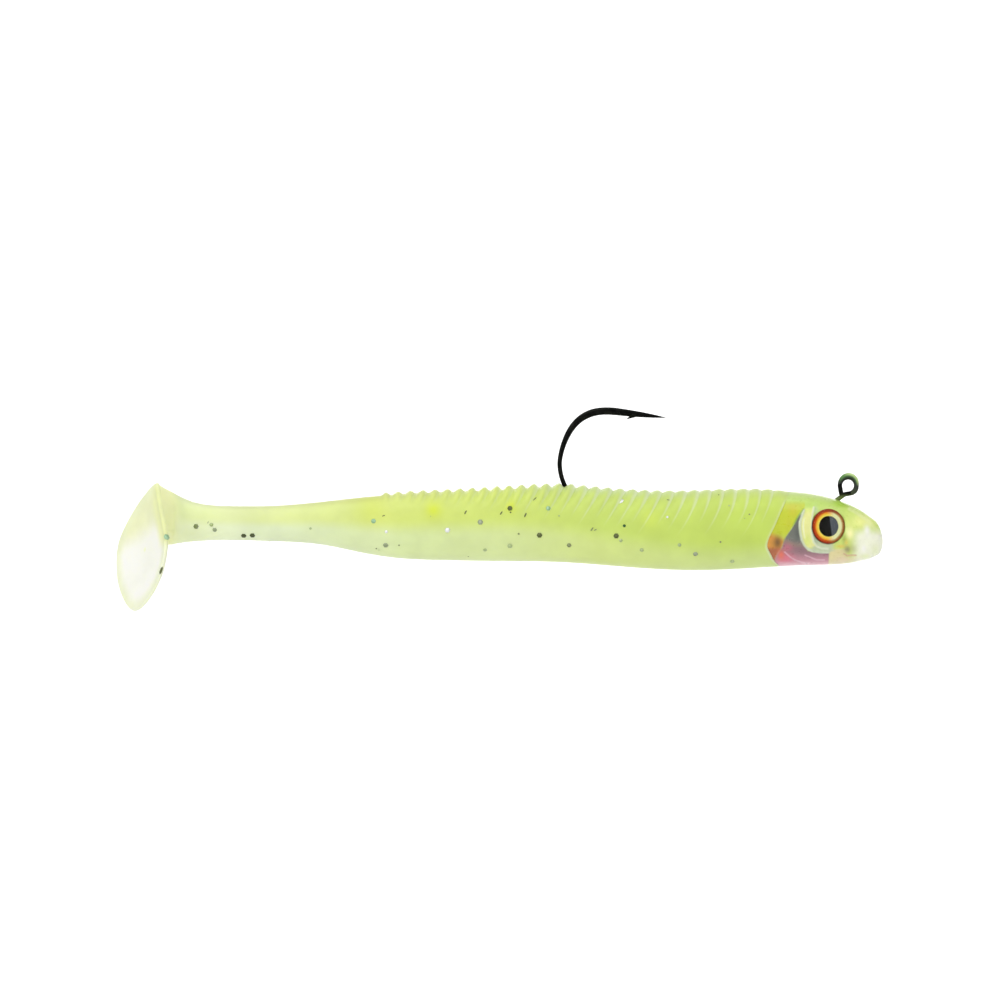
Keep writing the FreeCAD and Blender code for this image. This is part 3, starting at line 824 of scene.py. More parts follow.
def bend_tail(points):
    """Turns everything behind the paddle's flex point to its moulded rest angle, round a smooth bend."""
    back = HINGE_X - points[..., 0]
    side = points[..., 1]
    radius = TAIL_BEND_REACH / math.tan(PADDLE_TURN / 2)
    turned = np.clip((back + TAIL_BEND_REACH) / (2 * TAIL_BEND_REACH), 0, 1) * PADDLE_TURN
    past = np.maximum(back - TAIL_BEND_REACH, 0)
    before = np.minimum(back + TAIL_BEND_REACH, 0)
    out = points.copy()
    line_back = -TAIL_BEND_REACH + before + radius * np.sin(turned) + past * np.cos(turned)
    line_side = -radius * (1 - np.cos(turned)) - past * np.sin(turned)
    out[..., 0] = HINGE_X - line_back - side * np.sin(turned)
    out[..., 1] = line_side + side * np.cos(turned)
    return out


def paddle_wall(share_out):
    """The paddle's thickness, by how far out from its middle a point is."""
    return PADDLE_WALL + (PADDLE_RIM - PADDLE_WALL) * share_out**4


def web_foot(angle):
    """Where the web meets the paddle's front, as sideways and Z: along the rim high up, narrow low down."""
    z = WEB_MIDDLE + (WEB_HALF + WEB_DROOP * (1 - np.cos(angle))) * np.cos(angle)
    share = (PADDLE_TOP - z) / (PADDLE_TOP - PADDLE_LOW)
    narrowing = 0.965 - 0.7 * smoothstep(-7.0, -10.0, z)
    width = paddle_shape(share) * np.sqrt(1 - (1 - 2 * share) ** 2) * narrowing
    return width * np.clip(3 * np.sin(angle), -1, 1), z


def tail_values(points, backs, outs):
    """The soft plastic's values for the tail, by how far back and how far out on the paddle a point is."""
    y, z = points[..., 1], points[..., 2]
    values = skin_values(points)
    on_paddle = np.clip(outs * 30, 0, 1)
    low = (PADDLE_TOP - z) / (PADDLE_TOP - PADDLE_LOW)
    pale_starts = 0.42 + 0.019 * y
    near_web = smoothstep(0.55, 0.85, outs) * smoothstep(1.0, -1.5, y) * smoothstep(-9.8, -7.6, z)
    values["paddle"] = on_paddle
    values["paddle_low"] = smoothstep(pale_starts - 0.16, pale_starts + 0.06, low)
    values["paddle_rim"] = smoothstep(0.72, 0.96, outs)
    values["root"] = np.maximum(smoothstep(-1.0, 1.6, backs) * (1 - on_paddle), near_web)
    # Where the painted shade on the rim beside the web goes
    values["web_rim_shade"] = near_web * smoothstep(0.8, 0.98, outs)
    values["glitter"] = np.where(outs > 0, 0.0, 0.8) * (y > 0)
    return values


def tail_skin():
    """The tail's stalk, its flared web and the cupped paddle, as one closed surface."""
    angle = np.linspace(0, 2 * np.pi, SKIN_AROUND, endpoint=False)
    share = (1 - np.cos(angle)) / 2
    rim_side = paddle_shape(share) * np.sin(angle)
    rim_z = PADDLE_TOP + (PADDLE_LOW - PADDLE_TOP) * share
    middle_z = PADDLE_TOP + (PADDLE_LOW - PADDLE_TOP) * PADDLE_MIDDLE
    foot_side, foot_z = web_foot(angle)
    covered = smoothstep(-9.5, -7.5, rim_z)
    rim_reach = np.hypot(rim_side, rim_z - middle_z)
    rim_bearing = np.arctan2(rim_side, rim_z - middle_z)

    def on_front(side, z):
        """How far back the paddle's front face is at a point, and how far out that point is, as a share."""
        reach = np.interp(np.arctan2(side, z - middle_z), rim_bearing, rim_reach, period=2 * np.pi)
        share_out = np.clip(np.hypot(side, z - middle_z) / reach, 0, 1)
        cupped = PADDLE_CUP * (1 - share_out**2)
        return paddle_back(z) - cupped + (PADDLE_RIM - paddle_wall(share_out)) / 2, share_out

    rings, backs, outs = [], [], []

    def add(side, z, back, share_out):
        back = back + 0 * side
        rings.append(np.stack([HINGE_X - back, side, z], -1))
        backs.append(back)
        outs.append(share_out + 0 * side)

    stalk_end = HINGE_X - 0.6
    for x in np.linspace(REAR_SEAM - SEAM_GAP / 2, stalk_end, 44):
        side, z, _ = body_section(x, angle)
        add(side, z, HINGE_X - x, 0.0)
    end_side, end_z, _ = body_section(stalk_end, angle)
    foot_back, _ = on_front(foot_side, foot_z)
    for step in np.linspace(0, 1, 18)[1:]:
        spread = 0.35 * (1 - math.cos(step * math.pi / 2)) + 0.65 * step
        advance = 0.35 * math.sin(step * math.pi / 2) + 0.65 * step
        side = end_side + (foot_side - end_side) * spread
        z = end_z + (foot_z - end_z) * np.where(np.cos(angle) > 0, step, step**3)
        back = (HINGE_X - stalk_end) + (foot_back - (HINGE_X - stalk_end)) * advance
        add(side, z, back, 0.0)
    for step in np.linspace(0, 1, 18)[1:-1]:
        side = foot_side + (rim_side - foot_side) * step * 0.985
        z = foot_z + (rim_z - foot_z) * step * 0.985
        back, share_out = on_front(side, z)
        add(side, z, back, share_out)
    for turn in np.linspace(0, math.pi, 9):
        inset = 1 - 0.045 * (1 - math.sin(turn)) * (1 - covered if turn < math.pi / 2 else 1)
        side, z = rim_side * inset, middle_z + (rim_z - middle_z) * inset
        add(side, z, paddle_back(z) + PADDLE_RIM / 2 - math.cos(turn) * PADDLE_RIM / 2, 1.0)
    for step in np.linspace(0.955, 0.02, 30)[1:]:
        side, z = rim_side * step, middle_z + (rim_z - middle_z) * step
        back, _ = on_front(side, z)
        add(side, z, back + paddle_wall(step), step)
    points = np.array(rings)
    values = tail_values(points, np.array(backs), np.array(outs))
    return make_tube("soft_tail", bend_tail(points), SOFT, values, (True, False))


# ---- Head ----

EYE_LOW, EYE_HIGH = (np.array(corner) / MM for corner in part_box("eye_foil_right"))
EYE_X = (EYE_LOW[0] + EYE_HIGH[0]) / 2 - 0.25
EYE_Z = (EYE_LOW[2] + EYE_HIGH[2]) / 2 + 0.02
EYE_FLOOR = 0.25 - EYE_HIGH[1]
# Lines on the side of the head, as X and Z: the gill band's front edge, the gill plate's outer and inner
# edges, two folds in the throat, the mouth, and a highlight down the snout
GILL_FRONT = [(-6.6, -3.1), (-6.89, -3.56), (-7.64, -4.56), (-8.13, -5.47), (-8.8, -6.63), (-9.38, -7.46),
              (-9.79, -8.29), (-10.13, -9.29), (-10.6, -10.0), (-10.95, -10.8), (-11.1, -12.2)]
PLATE_OUTER = [(-6.75, -3.75), (-7.0, -4.5), (-7.3, -5.39), (-7.35, -6.22), (-7.26, -7.13), (-7.06, -8.04),
               (-6.64, -8.87), (-6.14, -9.4), (-5.48, -9.7), (-4.32, -9.87), (-3.1, -9.87)]
PLATE_INNER = [(-5.27, -3.3), (-5.45, -4.1), (-5.62, -5.2), (-5.68, -6.4), (-5.6, -7.4), (-5.35, -8.4),
               (-4.85, -9.05), (-4.15, -9.37), (-3.2, -9.4)]
THROAT_ARCS = [
    [(-9.6, -9.9), (-8.8, -10.62), (-8.05, -11.07), (-6.81, -11.5), (-5.98, -11.62)],
    [(-6.56, -10.37), (-5.73, -10.7), (-4.9, -11.03), (-3.65, -11.07)],
]
MOUTH = [(-0.73, -10.2), (-0.26, -10.5), (0.3, -10.42), (1.05, -10.43)]
SNOUT_SHINE = [(0.1, -3.5), (1.05, -4.0), (1.98, -4.65), (2.9, -5.2), (3.66, -6.1), (4.5, -7.1)]


def line_distance(x, z, line):
    """Distance from each point to a line of straight runs, in side view."""
    nearest = np.full(np.shape(x), 1e9)
    for (ax, az), (bx, bz) in zip(line, line[1:]):
        dx, dz = bx - ax, bz - az
        t = np.clip(((x - ax) * dx + (z - az) * dz) / (dx * dx + dz * dz), 0, 1)
        nearest = np.minimum(nearest, np.hypot(x - ax - t * dx, z - az - t * dz))
    return nearest


def blob(x, z, place, size):
    """A soft spot, 1 at its middle: size is its reach along X and along Z."""
    return np.exp(-(((x - place[0]) / size[0]) ** 2 + ((z - place[1]) / size[1]) ** 2))


def head_values(x, z, down):
    """The paint masks and the relief of one side of the head, from its side view."""
    gill_front = spline([(pz, px) for px, pz in GILL_FRONT])
    plate_rear = spline([(pz, px) for px, pz in PLATE_OUTER[:8]])
    plate_front = spline([(pz, px) for px, pz in PLATE_INNER[:7]])
    from_gill = x - gill_front(z)
    from_plate = x - plate_rear(z)
    outer, inner = line_distance(x, z, PLATE_OUTER), line_distance(x, z, PLATE_INNER)
    band = smoothstep(0.12, -0.12, from_gill) * smoothstep(-2.1, -3.0, z)
    behind_plate = smoothstep(0.1, -0.2, from_plate) * smoothstep(-3.6, -4.6, z)
    below_plate = smoothstep(-9.55, -9.9, z + 0.25 * smoothstep(-6.2, -7.2, x)) * smoothstep(-2.85, -3.1, x)
    cheek = smoothstep(-0.1, 0.15, from_gill) * np.maximum(behind_plate, below_plate)
    plate = smoothstep(0.0, 0.3, from_plate) * smoothstep(0.1, -0.2, x - plate_front(z))
    plate = plate * smoothstep(-3.2, -3.9, z) * smoothstep(-9.5, -9.0, z)
    under = smoothstep(-0.1, 0.15, x - plate_front(z)) * smoothstep(-5.5, -6.5, z)
    under = under * smoothstep(-9.95, -9.6, z)
    low_strip = smoothstep(-8.9, -9.2, z) * smoothstep(-9.95, -9.7, z) * smoothstep(-5.8, -5.2, x)
    under = np.maximum(under, low_strip) * smoothstep(-1.9, -2.9, x)
    masks = {
        "crown_lime": smoothstep(-3.4, -2.9, z) * smoothstep(-1.4, -2.2, z) * smoothstep(-10, -8, x),
        # A painted highlight along the top of the head
        "crown_highlight": smoothstep(0.16, 0.02, down) * smoothstep(-0.6, -3.0, x),
        "snout_yellow": np.maximum(blob(x, z, (2.0, -5.4), (2.2, 1.2)),
                                   0.6 * blob(x, z, (0.6, -5.6), (1.5, 1.6))),
        "hook_green": blob(x, z, (-1.3, -2.8), (1.1, 0.6)),
        "nose_clear": smoothstep(-0.2, 1.9, x) * smoothstep(-6.0, -7.7, z),
        "jaw_tint": np.maximum(blob(x, z, (2.5, -10.6), (0.9, 0.4)),
                               0.7 * blob(x, z, (4.0, -9.7), (0.7, 0.9))),
        "band_yellow": band * smoothstep(-8.9, -7.0, z),
        "band_gold": band * np.maximum(blob(x, z, (-8.4, -3.7), (0.7, 1.1)),
                                       0.5 * blob(x, z, (-9.0, -5.6), (0.7, 0.9))),
        "band_low": band * smoothstep(-7.0, -8.2, z + 0.5 * (x + 10.8)),
        "band_brown": band * blob(x, z, (-10.7, -8.5), (0.62, 0.95)),
        "band_rust": band * smoothstep(-9.0, -9.7, z),
        "cheek_silver": cheek * smoothstep(-10.2, -8.2, z - 0.5 * smoothstep(-8.2, -9.6, x)),
        "cheek_dark": cheek * blob(x, z, (-7.7, -7.1), (0.5, 1.3)),
        "cheek_mauve": cheek * smoothstep(-7.9, -9.4, z - 0.5 * smoothstep(-8.2, -9.6, x)),
        "cheek_pink": cheek * smoothstep(-9.7, -11.3, z),
        "cheek_rose": cheek * np.maximum(blob(x, z, (-9.4, -10.9), (1.1, 0.9)),
                                         0.55 * blob(x, z, (-9.2, -9.3), (0.8, 0.7))),
        "band_red": blob(x, z, (-10.15, -10.3), (0.5, 0.75)) * smoothstep(-9.0, -9.6, z),
        "throat_pale": (smoothstep(-11.15, -11.75, z) * smoothstep(-2.6, -3.2, x)
                        * smoothstep(-10.9, -10.2, x)),
        "chin_cream": smoothstep(-3.1, -2.85, x) * smoothstep(0.2, -1.0, x) * smoothstep(-9.2, -9.7, z),
        "jaw_peach": blob(x, z, (-0.4, -11.1), (1.6, 0.6)),
        "plate_edge": smoothstep(0.34, 0.12, outer),
        "plate_yellow": plate,
        "plate_lime": plate * np.maximum(blob(x, z, (-6.3, -8.2), (0.5, 0.9)), smoothstep(-4.3, -3.5, z)),
        "plate_gleam": (smoothstep(0.14, 0.03, np.abs(from_plate - 0.48)) * smoothstep(-4.6, -5.2, z)
                        * smoothstep(-8.2, -7.4, z)),
        "plate_under": under,
        "plate_shade": under * blob(x, z, (-5.0, -8.0), (0.4, 0.75)),
        "plate_mint": blob(x, z, (-5.0, -3.7), (0.35, 0.7)),
        "inner_gleam": 0.9 * smoothstep(0.24, 0.06, inner),
        "gill_line": (smoothstep(0.24, 0.05, np.abs(from_gill)) * smoothstep(-6.6, -5.0, z)
                      * smoothstep(-3.1, -3.7, z)),
        "eye_green": blob(x, z, (-0.75, -7.95), (0.32, 0.75)),
        "eye_patch": blob(x, z, (0.1, -7.15), (0.5, 0.8)),
        "eye_streak": np.maximum(blob(x, z, (-1.2, -9.05), (0.75, 0.25)),
                                 0.8 * blob(x, z, (-0.45, -8.5), (0.3, 0.5))),
        "chin_spot": np.maximum(blob(x, z, (-0.25, -9.5), (0.5, 0.5)),
                                0.4 * blob(x, z, (0.4, -9.4), (0.7, 0.6))),
        "mouth_line": smoothstep(0.2, 0.04, line_distance(x, z, MOUTH)),
        "snout_shine": smoothstep(0.42, 0.08, line_distance(x, z, SNOUT_SHINE)),
        "nose_shine": np.maximum(blob(x, z, (2.7, -6.7), (0.5, 0.8)), blob(x, z, (2.2, -9.4), (0.35, 0.5))),
    }
    throat = np.minimum(line_distance(x, z, THROAT_ARCS[0]), line_distance(x, z, THROAT_ARCS[1]))
    masks["throat_arc"] = smoothstep(0.16, 0.05, throat)
    relief = -0.1 * band + 0.12 * smoothstep(0.34, 0.0, outer) + 0.08 * smoothstep(0.28, 0.0, inner)
    relief = relief + 0.05 * smoothstep(0.16, 0.0, throat)
    relief = relief - 0.1 * smoothstep(0.22, 0.0, line_distance(x, z, MOUTH))
    return masks, relief


def head_section(back, angle):
    """The head's section at a share of the way back: points sideways and in height, then its top and chin."""
    top, bottom = head_top(back), head_bottom(back)
    across, up = rounded(angle, SECTION_POWER)
    return across * head_half_width(back), (top + bottom) / 2 + up * (top - bottom) / 2, top, bottom


def head_surface():
    """The skin of the half that faces +Y: rings of points from nose to gills, and the paint's values."""
    share = np.linspace(0, 1, HEAD_RINGS)[1:, None]
    angle = np.linspace(0, np.pi, HEAD_AROUND)[None, :]
    plain_x = NOSE - HEAD_LENGTH * share**2
    to_gill = smoothstep(0.72, 1.0, share)
    back = share
    for _ in range(6):
        x = plain_x + to_gill * (gill_x(head_section(back, angle)[1]) - (NOSE - HEAD_LENGTH))
        back = np.sqrt(np.clip((NOSE - x) / HEAD_LENGTH, 0, 1))
    y, z, top, bottom = head_section(back, angle)
    down = (top - z) / (top - bottom)
    values, relief = head_values(x, z, down)
    values["height"] = 1 - down
    relief = relief * smoothstep(0.25, 0.6, np.sin(angle))
    normal_y = y / np.maximum(head_half_width(back), 0.5) ** 2
    normal_z = (z - (top + bottom) / 2) / ((top - bottom) / 2) ** 2
    length = np.hypot(normal_y, normal_z)
    y = y + relief * normal_y / length
    z = z + relief * normal_z / length
    floor = EYE_FLOOR - (x - EYE_X) * math.tan(EYE_TURN)
    seat = smoothstep(EYE_SEAT + 0.06, EYE_SEAT - 0.02, np.hypot((x - EYE_X) / EYE_NARROW, z - EYE_Z))
    y = np.where((seat > 0) & (y > 0), y + seat * (np.minimum(y, floor) - y), y)
    return np.stack([x, np.maximum(y, 0) + 0.001, z], -1), values


def head_half(side, name):
    """Half the head: its outer skin, the flat face where the halves meet, and the wall behind the gills."""
    surface, values = head_surface()
    points = surface * (1, side, 1)
    rings, around = points.shape[:2]
    tip, wall = rings * around, rings * around + 1
    rear = points[-1].mean(0)
    nose = [NOSE, side * 0.001, float(head_top(0.0))]
    points = np.vstack([points.reshape(-1, 3), nose, [rear[0], side * 0.001, rear[2]]])
    faces = []
    for i in range(rings - 1):
        for j in range(around - 1):
            a = i * around + j
            faces.append((a, a + 1, a + around + 1, a + around))
        faces.append((i * around, (i + 1) * around, (i + 2) * around - 1, (i + 1) * around - 1))
    last = (rings - 1) * around
    for j in range(around - 1):
        faces.append((tip, j + 1, j))
        faces.append((wall, last + j, last + j + 1))
    faces.append((tip, 0, around - 1))
    faces.append((wall, rings * around - 1, last))
    values = {key: np.append(data.reshape(-1), (data[0, 0], data[-1, 0])) for key, data in values.items()}
    sharp = {i * around for i in range(rings)} | {(i + 1) * around - 1 for i in range(rings)}
    sharp |= set(range(last, rings * around)) | {tip}
    return make_piece(name, points, faces, HEAD, values, sharp)


def lathe(name, profile, centre, axis, material, narrow=1.0):
    """A closed turned piece: profile is (radius, height) from its middle out and round to its middle again.

    narrow draws it in along the head. Each point carries how far out it is, and how far forward and up.
    """
    forward = np.array([axis[1], -axis[0], 0]) * np.sign(axis[1])
    turn = np.linspace(0, 2 * np.pi, 96, endpoint=False)
    ahead, up = np.cos(turn)[:, None], np.sin(turn)[:, None]
    rings = np.array([
        centre + axis * h + r * (narrow * ahead * forward + up * np.array([0, 0, 1.0])) for r, h in profile
    ])
    reach = np.array([r for r, _ in profile])[:, None] / max(r for r, _ in profile)
    values = {"eye_reach": reach + 0 * ahead.T, "eye_ahead": reach * ahead.T, "eye_up": reach * up.T}
    return make_tube(name, rings, material, values, (False, False))


def eye_pieces(side, label):
    """The printed eye disc and its clear dome, in their seat in the shell."""
    low, high = (np.array(corner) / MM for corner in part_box("eye_foil_" + label))
    axis = np.array([math.sin(EYE_TURN), side * math.cos(EYE_TURN), 0])
    face = np.array([EYE_X, (low[1] + high[1]) / 2, EYE_Z]) + axis * 0.12
    radius = EYE_SEAT - 0.02
    disc = [(r, 0.06 * (1 - (r / radius) ** 2)) for r in np.linspace(0.01, radius - 0.04, 30)]
    disc += [(radius, -0.05), (radius, -0.3), (0.01, -0.3)]
    printed = lathe("eye_print_" + label, disc, face, axis, EYE, EYE_NARROW)
    ball = (radius**2 + DOME_HEIGHT**2) / (2 * DOME_HEIGHT)
    cap = [(ball * math.sin(a), DOME_HEIGHT - ball + ball * math.cos(a) + 0.06)
           for a in np.linspace(0.004, math.asin(radius / ball), 26)]
    cap += [(radius - 0.03, 0.02), (radius * 0.6, 0.08), (0.01, 0.1)]
    dome = lathe("eye_dome_" + label + "_clear", cap, face, axis, CLEAR, EYE_NARROW)
    return printed, dome


def line_tie_coat():
    """The coat of paint round the line tie's wire, thickest over its top."""
    thick = spline([(-70, 0.36), (-30, 0.4), (0, 0.38), (30, 0.45), (55, 0.5), (90, 0.51), (120, 0.45),
                    (150, 0.38),
                    (182, 0.33)])
    degrees = np.linspace(-70, 182, 90)[:, None]
    around = np.linspace(0, 2 * np.pi, 28, endpoint=False)[None, :]
    turn = np.radians(degrees)
    radius = thick(degrees)
    reach = TIE_INNER + radius + radius * np.cos(around)
    rings = np.stack([reach * np.cos(turn), radius * np.sin(around), reach * np.sin(turn)], -1)
    outside = smoothstep(-0.5, 0.6, np.cos(around))
    values = {
        "tie_green": outside * smoothstep(-8, 28, degrees) * smoothstep(165, 120, degrees) * 0.95,
        # A painted highlight on the green paint's outer side, towards the nose
        "tie_highlight": smoothstep(122, 72, degrees) * smoothstep(-0.1, 0.7, np.cos(around)),
        "tie_low": smoothstep(0, -50, degrees) + 0 * around,
    }
    return make_tube("line_tie_coat", rings, tie_paint(), values)


soft_front, soft_middle, soft_tail = front_skin(), middle_skin(), tail_skin()
head_left, head_right = head_half(1, "head_left"), head_half(-1, "head_right")
tie_coat = line_tie_coat()
print_left, dome_left = eye_pieces(1, "left")
print_right, dome_right = eye_pieces(-1, "right")

# ---- Flakes in the plastic: scattered over the left side, and laid one by one on the right ----

FLAKES = glitter_tree()
FLAKE_KINDS = [
    ("large", 11, {"Flakes per square metre": 110000.0, "Smallest": 0.00028, "Largest": 0.00042,
                   "Tilt": 0.08}),
    ("small", 31, {"Flakes per square metre": 150000.0, "Smallest": 0.00007, "Largest": 0.00016,
                   "Tilt": 0.5}),
    ("slit", 51, {"Flakes per square metre": 45000.0, "Smallest": 0.0003, "Largest": 0.00042,
                  "Narrowness": 0.28}),
]
SKINS = {"front": soft_front, "middle": soft_middle, "tail": soft_tail}
SKIN_REACH = {"front": (FRONT_SEAM, 0), "middle": (REAR_SEAM, FRONT_SEAM), "tail": (-120, REAR_SEAM)}
# Each flake on the right side: X, Z, radius, tone, and for a flake nearly on edge, its slant in degrees
FLAKE_LIFTS = (-0.015, 0.02)
EDGE_ON = 0.3
DARK, OLIVE, GREY_OLIVE, SILVER, PALE, WHITE, GREEN, TEAL = 0.05, 0.2, 0.4, 0.6, 0.75, 0.85, 0.92, 0.97
RIGHT_FLAKES = [
    (-69.0, -8.9, 0.42, SILVER), (-59.8, -6.65, 0.4, WHITE), (-54.9, -5.45, 0.42, SILVER),
    (-50.5, -3.4, 0.4, OLIVE), (-46.1, -7.4, 0.42, OLIVE), (-41.7, -8.9, 0.36, GREY_OLIVE),
    (-44.8, -3.4, 0.36, TEAL), (-70.8, -5.3, 0.38, TEAL), (-68.9, -6.9, 0.26, WHITE),
    (-34.0, -2.35, 0.5, WHITE), (-33.5, -6.0, 0.24, GREEN), (-34.7, -7.5, 0.42, OLIVE),
    (-22.9, -10.2, 0.38, SILVER), (-17.4, -11.3, 0.36, PALE), (-25.3, -8.85, 0.3, PALE),
    (-50.5, -9.0, 0.4, PALE), (-54.2, -9.6, 0.3, PALE), (-30.9, -9.6, 0.32, PALE),
    (-34.0, -8.2, 0.28, PALE), (-90.2, -7.5, 0.42, DARK), (-88.9, -7.45, 0.42, DARK),
    (-97.3, -6.1, 0.4, GREY_OLIVE), (-95.0, -5.85, 0.3, PALE), (-94.5, -6.6, 0.34, SILVER),
    (-101.35, -7.65, 0.5, TEAL), (-49.2, -7.2, 0.16, GREY_OLIVE), (-67.0, -8.9, 0.14, GREY_OLIVE),
    (-19.2, -8.4, 0.16, GREY_OLIVE), (-27.1, -4.7, 0.2, WHITE), (-70.4, -9.4, 0.12, OLIVE),
    (-62.3, -4.6, 0.08, PALE), (-50.4, -4.0, 0.13, OLIVE), (-43.2, -4.5, 0.14, PALE),
    (-17.9, -3.0, 0.14, PALE), (-14.9, -4.3, 0.13, GREY_OLIVE), (-15.6, -4.9, 0.1, PALE),
    (-56.7, -10.6, 0.1, GREY_OLIVE), (-19.4, -1.4, 0.1, OLIVE), (-80.2, -6.4, 0.2, PALE),
    (-46.8, -2.0, 0.4, OLIVE, 60), (-51.8, -4.1, 0.36, OLIVE, 60), (-57.1, -4.0, 0.36, OLIVE, 65),
    (-48.2, -4.4, 0.4, OLIVE, 65), (-38.3, -6.5, 0.36, GREY_OLIVE, 55), (-69.3, -4.5, 0.26, OLIVE, 20),
    (-70.0, -6.0, 0.34, SILVER, 120), (-26.95, -2.15, 0.24, OLIVE, 10), (-102.15, -12.6, 0.65, OLIVE, 70),
    (-95.5, -5.5, 0.2, SILVER, 70), (-37.8, -6.6, 0.26, GREY_OLIVE, 30),
]


def placed_flakes(label):
    """Six-sided flakes laid on the right side of a skin, each where its X and Z meet the surface."""
    points, faces, tones = [], [], []
    low, high = SKIN_REACH[label]
    for x, z, radius, tone, *slant in RIGHT_FLAKES:
        met, place, normal, _ = SKINS[label].ray_cast(Vector((x, -20, z)) * MM, Vector((0, 1, 0)))
        if not met or not low < x <= high:
            continue
        turn = math.radians(slant[0] if slant else 0)
        along = Vector((math.cos(turn), 0, math.sin(turn)))
        along = (along - normal * along.dot(normal)).normalized()
        across = normal.cross(along) * (EDGE_ON if slant else 1.0)
        first = len(points)
        for lift in FLAKE_LIFTS:
            for corner in range(6):
                a = corner * math.pi / 3
                spot = place / MM + radius * (math.cos(a) * along + math.sin(a) * across) + lift * normal
                points.append(tuple(spot))
                tones.append(tone)
        faces.append(tuple(first + 6 + k for k in range(6)))
        faces.append(tuple(first + 5 - k for k in range(6)))
        for k in range(6):
            faces.append((first + k, first + (k + 1) % 6, first + 6 + (k + 1) % 6, first + 6 + k))
    return make_piece(f"glitter_{label}_right", points, faces, GLITTER, {"flake_tone": tones})


flakes = {}
for number, (label, skin) in enumerate(SKINS.items()):
    flakes[label] = []
    for kind, seed, sizes in FLAKE_KINDS:
        sizes = dict(sizes, Seed=seed + number)
        flakes[label].append(grow(skin, FLAKES, f"glitter_{label}_{kind}", sizes, GLITTER))
    flakes[label].append(placed_flakes(label))

# ---- Finishes for the CAD pieces that stay ----

for names, finish in [
    (["hook"], black_nickel()),
    (["weight_core", "keeper_collar"], cast_metal()),
    (["cheek_foil_left", "cheek_foil_right"], printed_foil()),
    (["rattle_tube", "rattle_end_caps"], rattle_plastic()),
    (["rattle_ball"], ball_steel()),
]:
    for name in names:
        mesh = frame["nodes"][name].data
        mesh.materials.clear()
        mesh.materials.append(finish)

# ---- Floor, light and camera ----

VIEW_MIDDLE = Vector((-51.9, 0, -2.24)) * MM
VIEW_WIDTH = 149.5 * MM
LENS = 250.0
SENSOR = 36.0

# The floor runs back and curves up into a wall: its distance behind the bait, height and curve, and the
# floor's Z
WALL_DEPTH, WALL_HEIGHT, FLOOR_CURVE, FLOOR_Z = 1.15, 1.6, 0.5, -0.22

# Soft lights: name, place, what it points at, width and height, watts
LIGHTS = [
    ("top_softbox", (-0.05, -0.2, 0.7), VIEW_MIDDLE, (0.9, 0.6), 2.0),
    ("tail_softbox", (-0.75, -0.7, 0.25), VIEW_MIDDLE, (0.5, 0.5), 2.3),
    ("nose_softbox", (0.4, -0.8, 0.15), VIEW_MIDDLE, (0.3, 0.4), 1.15),
    ("backdrop_light", (-0.05, 0.6, 0.5), (-0.05, WALL_DEPTH, -0.02), (0.8, 0.2), 4.6),
]
SKY_STRENGTH = 0.575


def pale_floor():
    """A plain pale floor that curves up behind the bait."""
    material, tree, shader = new_finish("pale_floor", Roughness=0.9, Specular_IOR_Level=0.1)
    tone = mix_colour(tree, noise(tree, 3), (0.93, 0.93, 0.92, 1), (0.95, 0.95, 0.95, 1))
    tree.links.new(tone, shader.inputs["Base Color"])
    start = WALL_DEPTH - FLOOR_CURVE
    outline = [(-1.8, FLOOR_Z), (start, FLOOR_Z)]
    outline += [(start + FLOOR_CURVE * math.sin(a), FLOOR_Z + FLOOR_CURVE * (1 - math.cos(a)))
                for a in np.linspace(0, math.pi / 2, 16)[1:]]
    outline += [(WALL_DEPTH, WALL_HEIGHT)]
    points = [(x, y, z) for y, z in outline for x in (-2.0, 2.0)]
    faces = [(2 * i, 2 * i + 1, 2 * i + 3, 2 * i + 2) for i in range(len(outline) - 1)]
    mesh = bpy.data.meshes.new("pale_floor")
    mesh.from_pydata(points, [], faces)
    mesh.polygons.foreach_set("use_smooth", [True] * len(mesh.polygons))
    mesh.materials.append(material)
    floor = bpy.data.objects.new("pale_floor", mesh)
    bpy.context.collection.objects.link(floor)
    floor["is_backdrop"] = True


def soft_light(name, place, target, size, power):
    light = bpy.data.lights.new(name, "AREA")
    light.shape = "RECTANGLE"
    light.size, light.size_y = size
    light.energy = power
    lamp = bpy.data.objects.new(name, light)
    lamp.location = place
    lamp.rotation_euler = (Vector(target) - Vector(place)).to_track_quat("-Z", "Y").to_euler()
    bpy.context.collection.objects.link(lamp)


def white_sky():
    world = bpy.data.worlds.new("studio")
    world.use_nodes = True
    sky = world.node_tree.nodes["Background"].inputs
    sky["Color"].default_value = (1, 1, 1, 1)
    sky["Strength"].default_value = SKY_STRENGTH
    bpy.context.scene.world = world
    bpy.context.scene.view_settings.view_transform = "Standard"


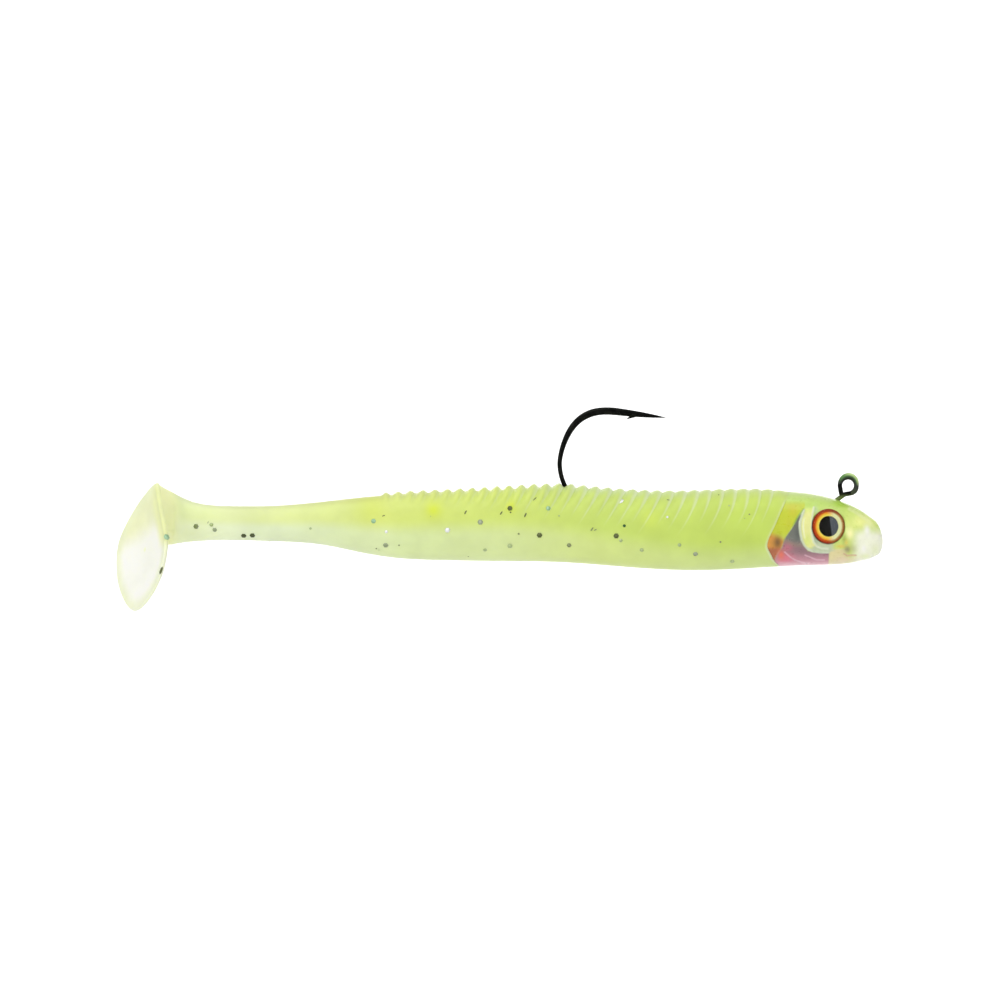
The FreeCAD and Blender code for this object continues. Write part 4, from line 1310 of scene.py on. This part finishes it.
def side_view():
    """A long lens, square to the bait's right side."""
    camera = bpy.data.cameras.new("side_view")
    camera.lens, camera.sensor_width = LENS, SENSOR
    camera.clip_start, camera.clip_end = 0.05, 20
    viewpoint = bpy.data.objects.new("side_view", camera)
    viewpoint.location = VIEW_MIDDLE - Vector((0, LENS / SENSOR * VIEW_WIDTH, 0))
    viewpoint.rotation_euler = (math.pi / 2, 0, 0)
    bpy.context.collection.objects.link(viewpoint)
    bpy.context.scene.camera = viewpoint


pale_floor()
for lamp in LIGHTS:
    soft_light(*lamp)
white_sky()
side_view()

# ---- What each piece rides on and stands for ----


def settle(piece, body=None, stands_for=(), across=None):
    """Rides a piece on a body, or bakes its place into its mesh, and hides the nodes it stands for."""
    if across:
        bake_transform(piece)
    else:
        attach(piece, body)
    if stands_for:
        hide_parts(*stands_for)


paddle_axis = Vector((-math.cos(PADDLE_TURN), -math.sin(PADDLE_TURN), 0))
hinge = Vector((HINGE_X * MM, 0, 0))
# Each skin's first body, its second body and two points of its bend; a skin is only fixed in place where it
# is, not bent
BENDS = {
    "front": ("head", "rear", (-0.053, 0, 0), (-0.063, 0, 0)),
    "middle": ("rear", "stalk", (-0.075, 0, 0), (-0.085, 0, 0)),
    "tail": ("stalk", "paddle", tuple(hinge - paddle_axis * 0.0018), tuple(hinge + paddle_axis * 0.0024)),
}
STANDS_FOR = {"front": ["body_front"], "middle": ["body_rear"], "tail": ["tail_stalk", "tail_paddle"]}
for label, skin in SKINS.items():
    settle(skin, stands_for=STANDS_FOR[label], across=BENDS[label])
    for scatter in flakes[label]:
        settle(scatter, across=BENDS[label])
settle(head_left, "head", ["head_shell_left"])
settle(head_right, "head", ["head_shell_right"])
settle(print_left, "head", ["eye_foil_left"])
settle(print_right, "head", ["eye_foil_right"])
settle(tie_coat, "head")
settle(dome_left, "head", ["eye_dome_left"])
settle(dome_right, "head", ["eye_dome_right"])

sizes = {"cad": [list(c) for c in CAD_BOX], "visual": [list(c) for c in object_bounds()]}
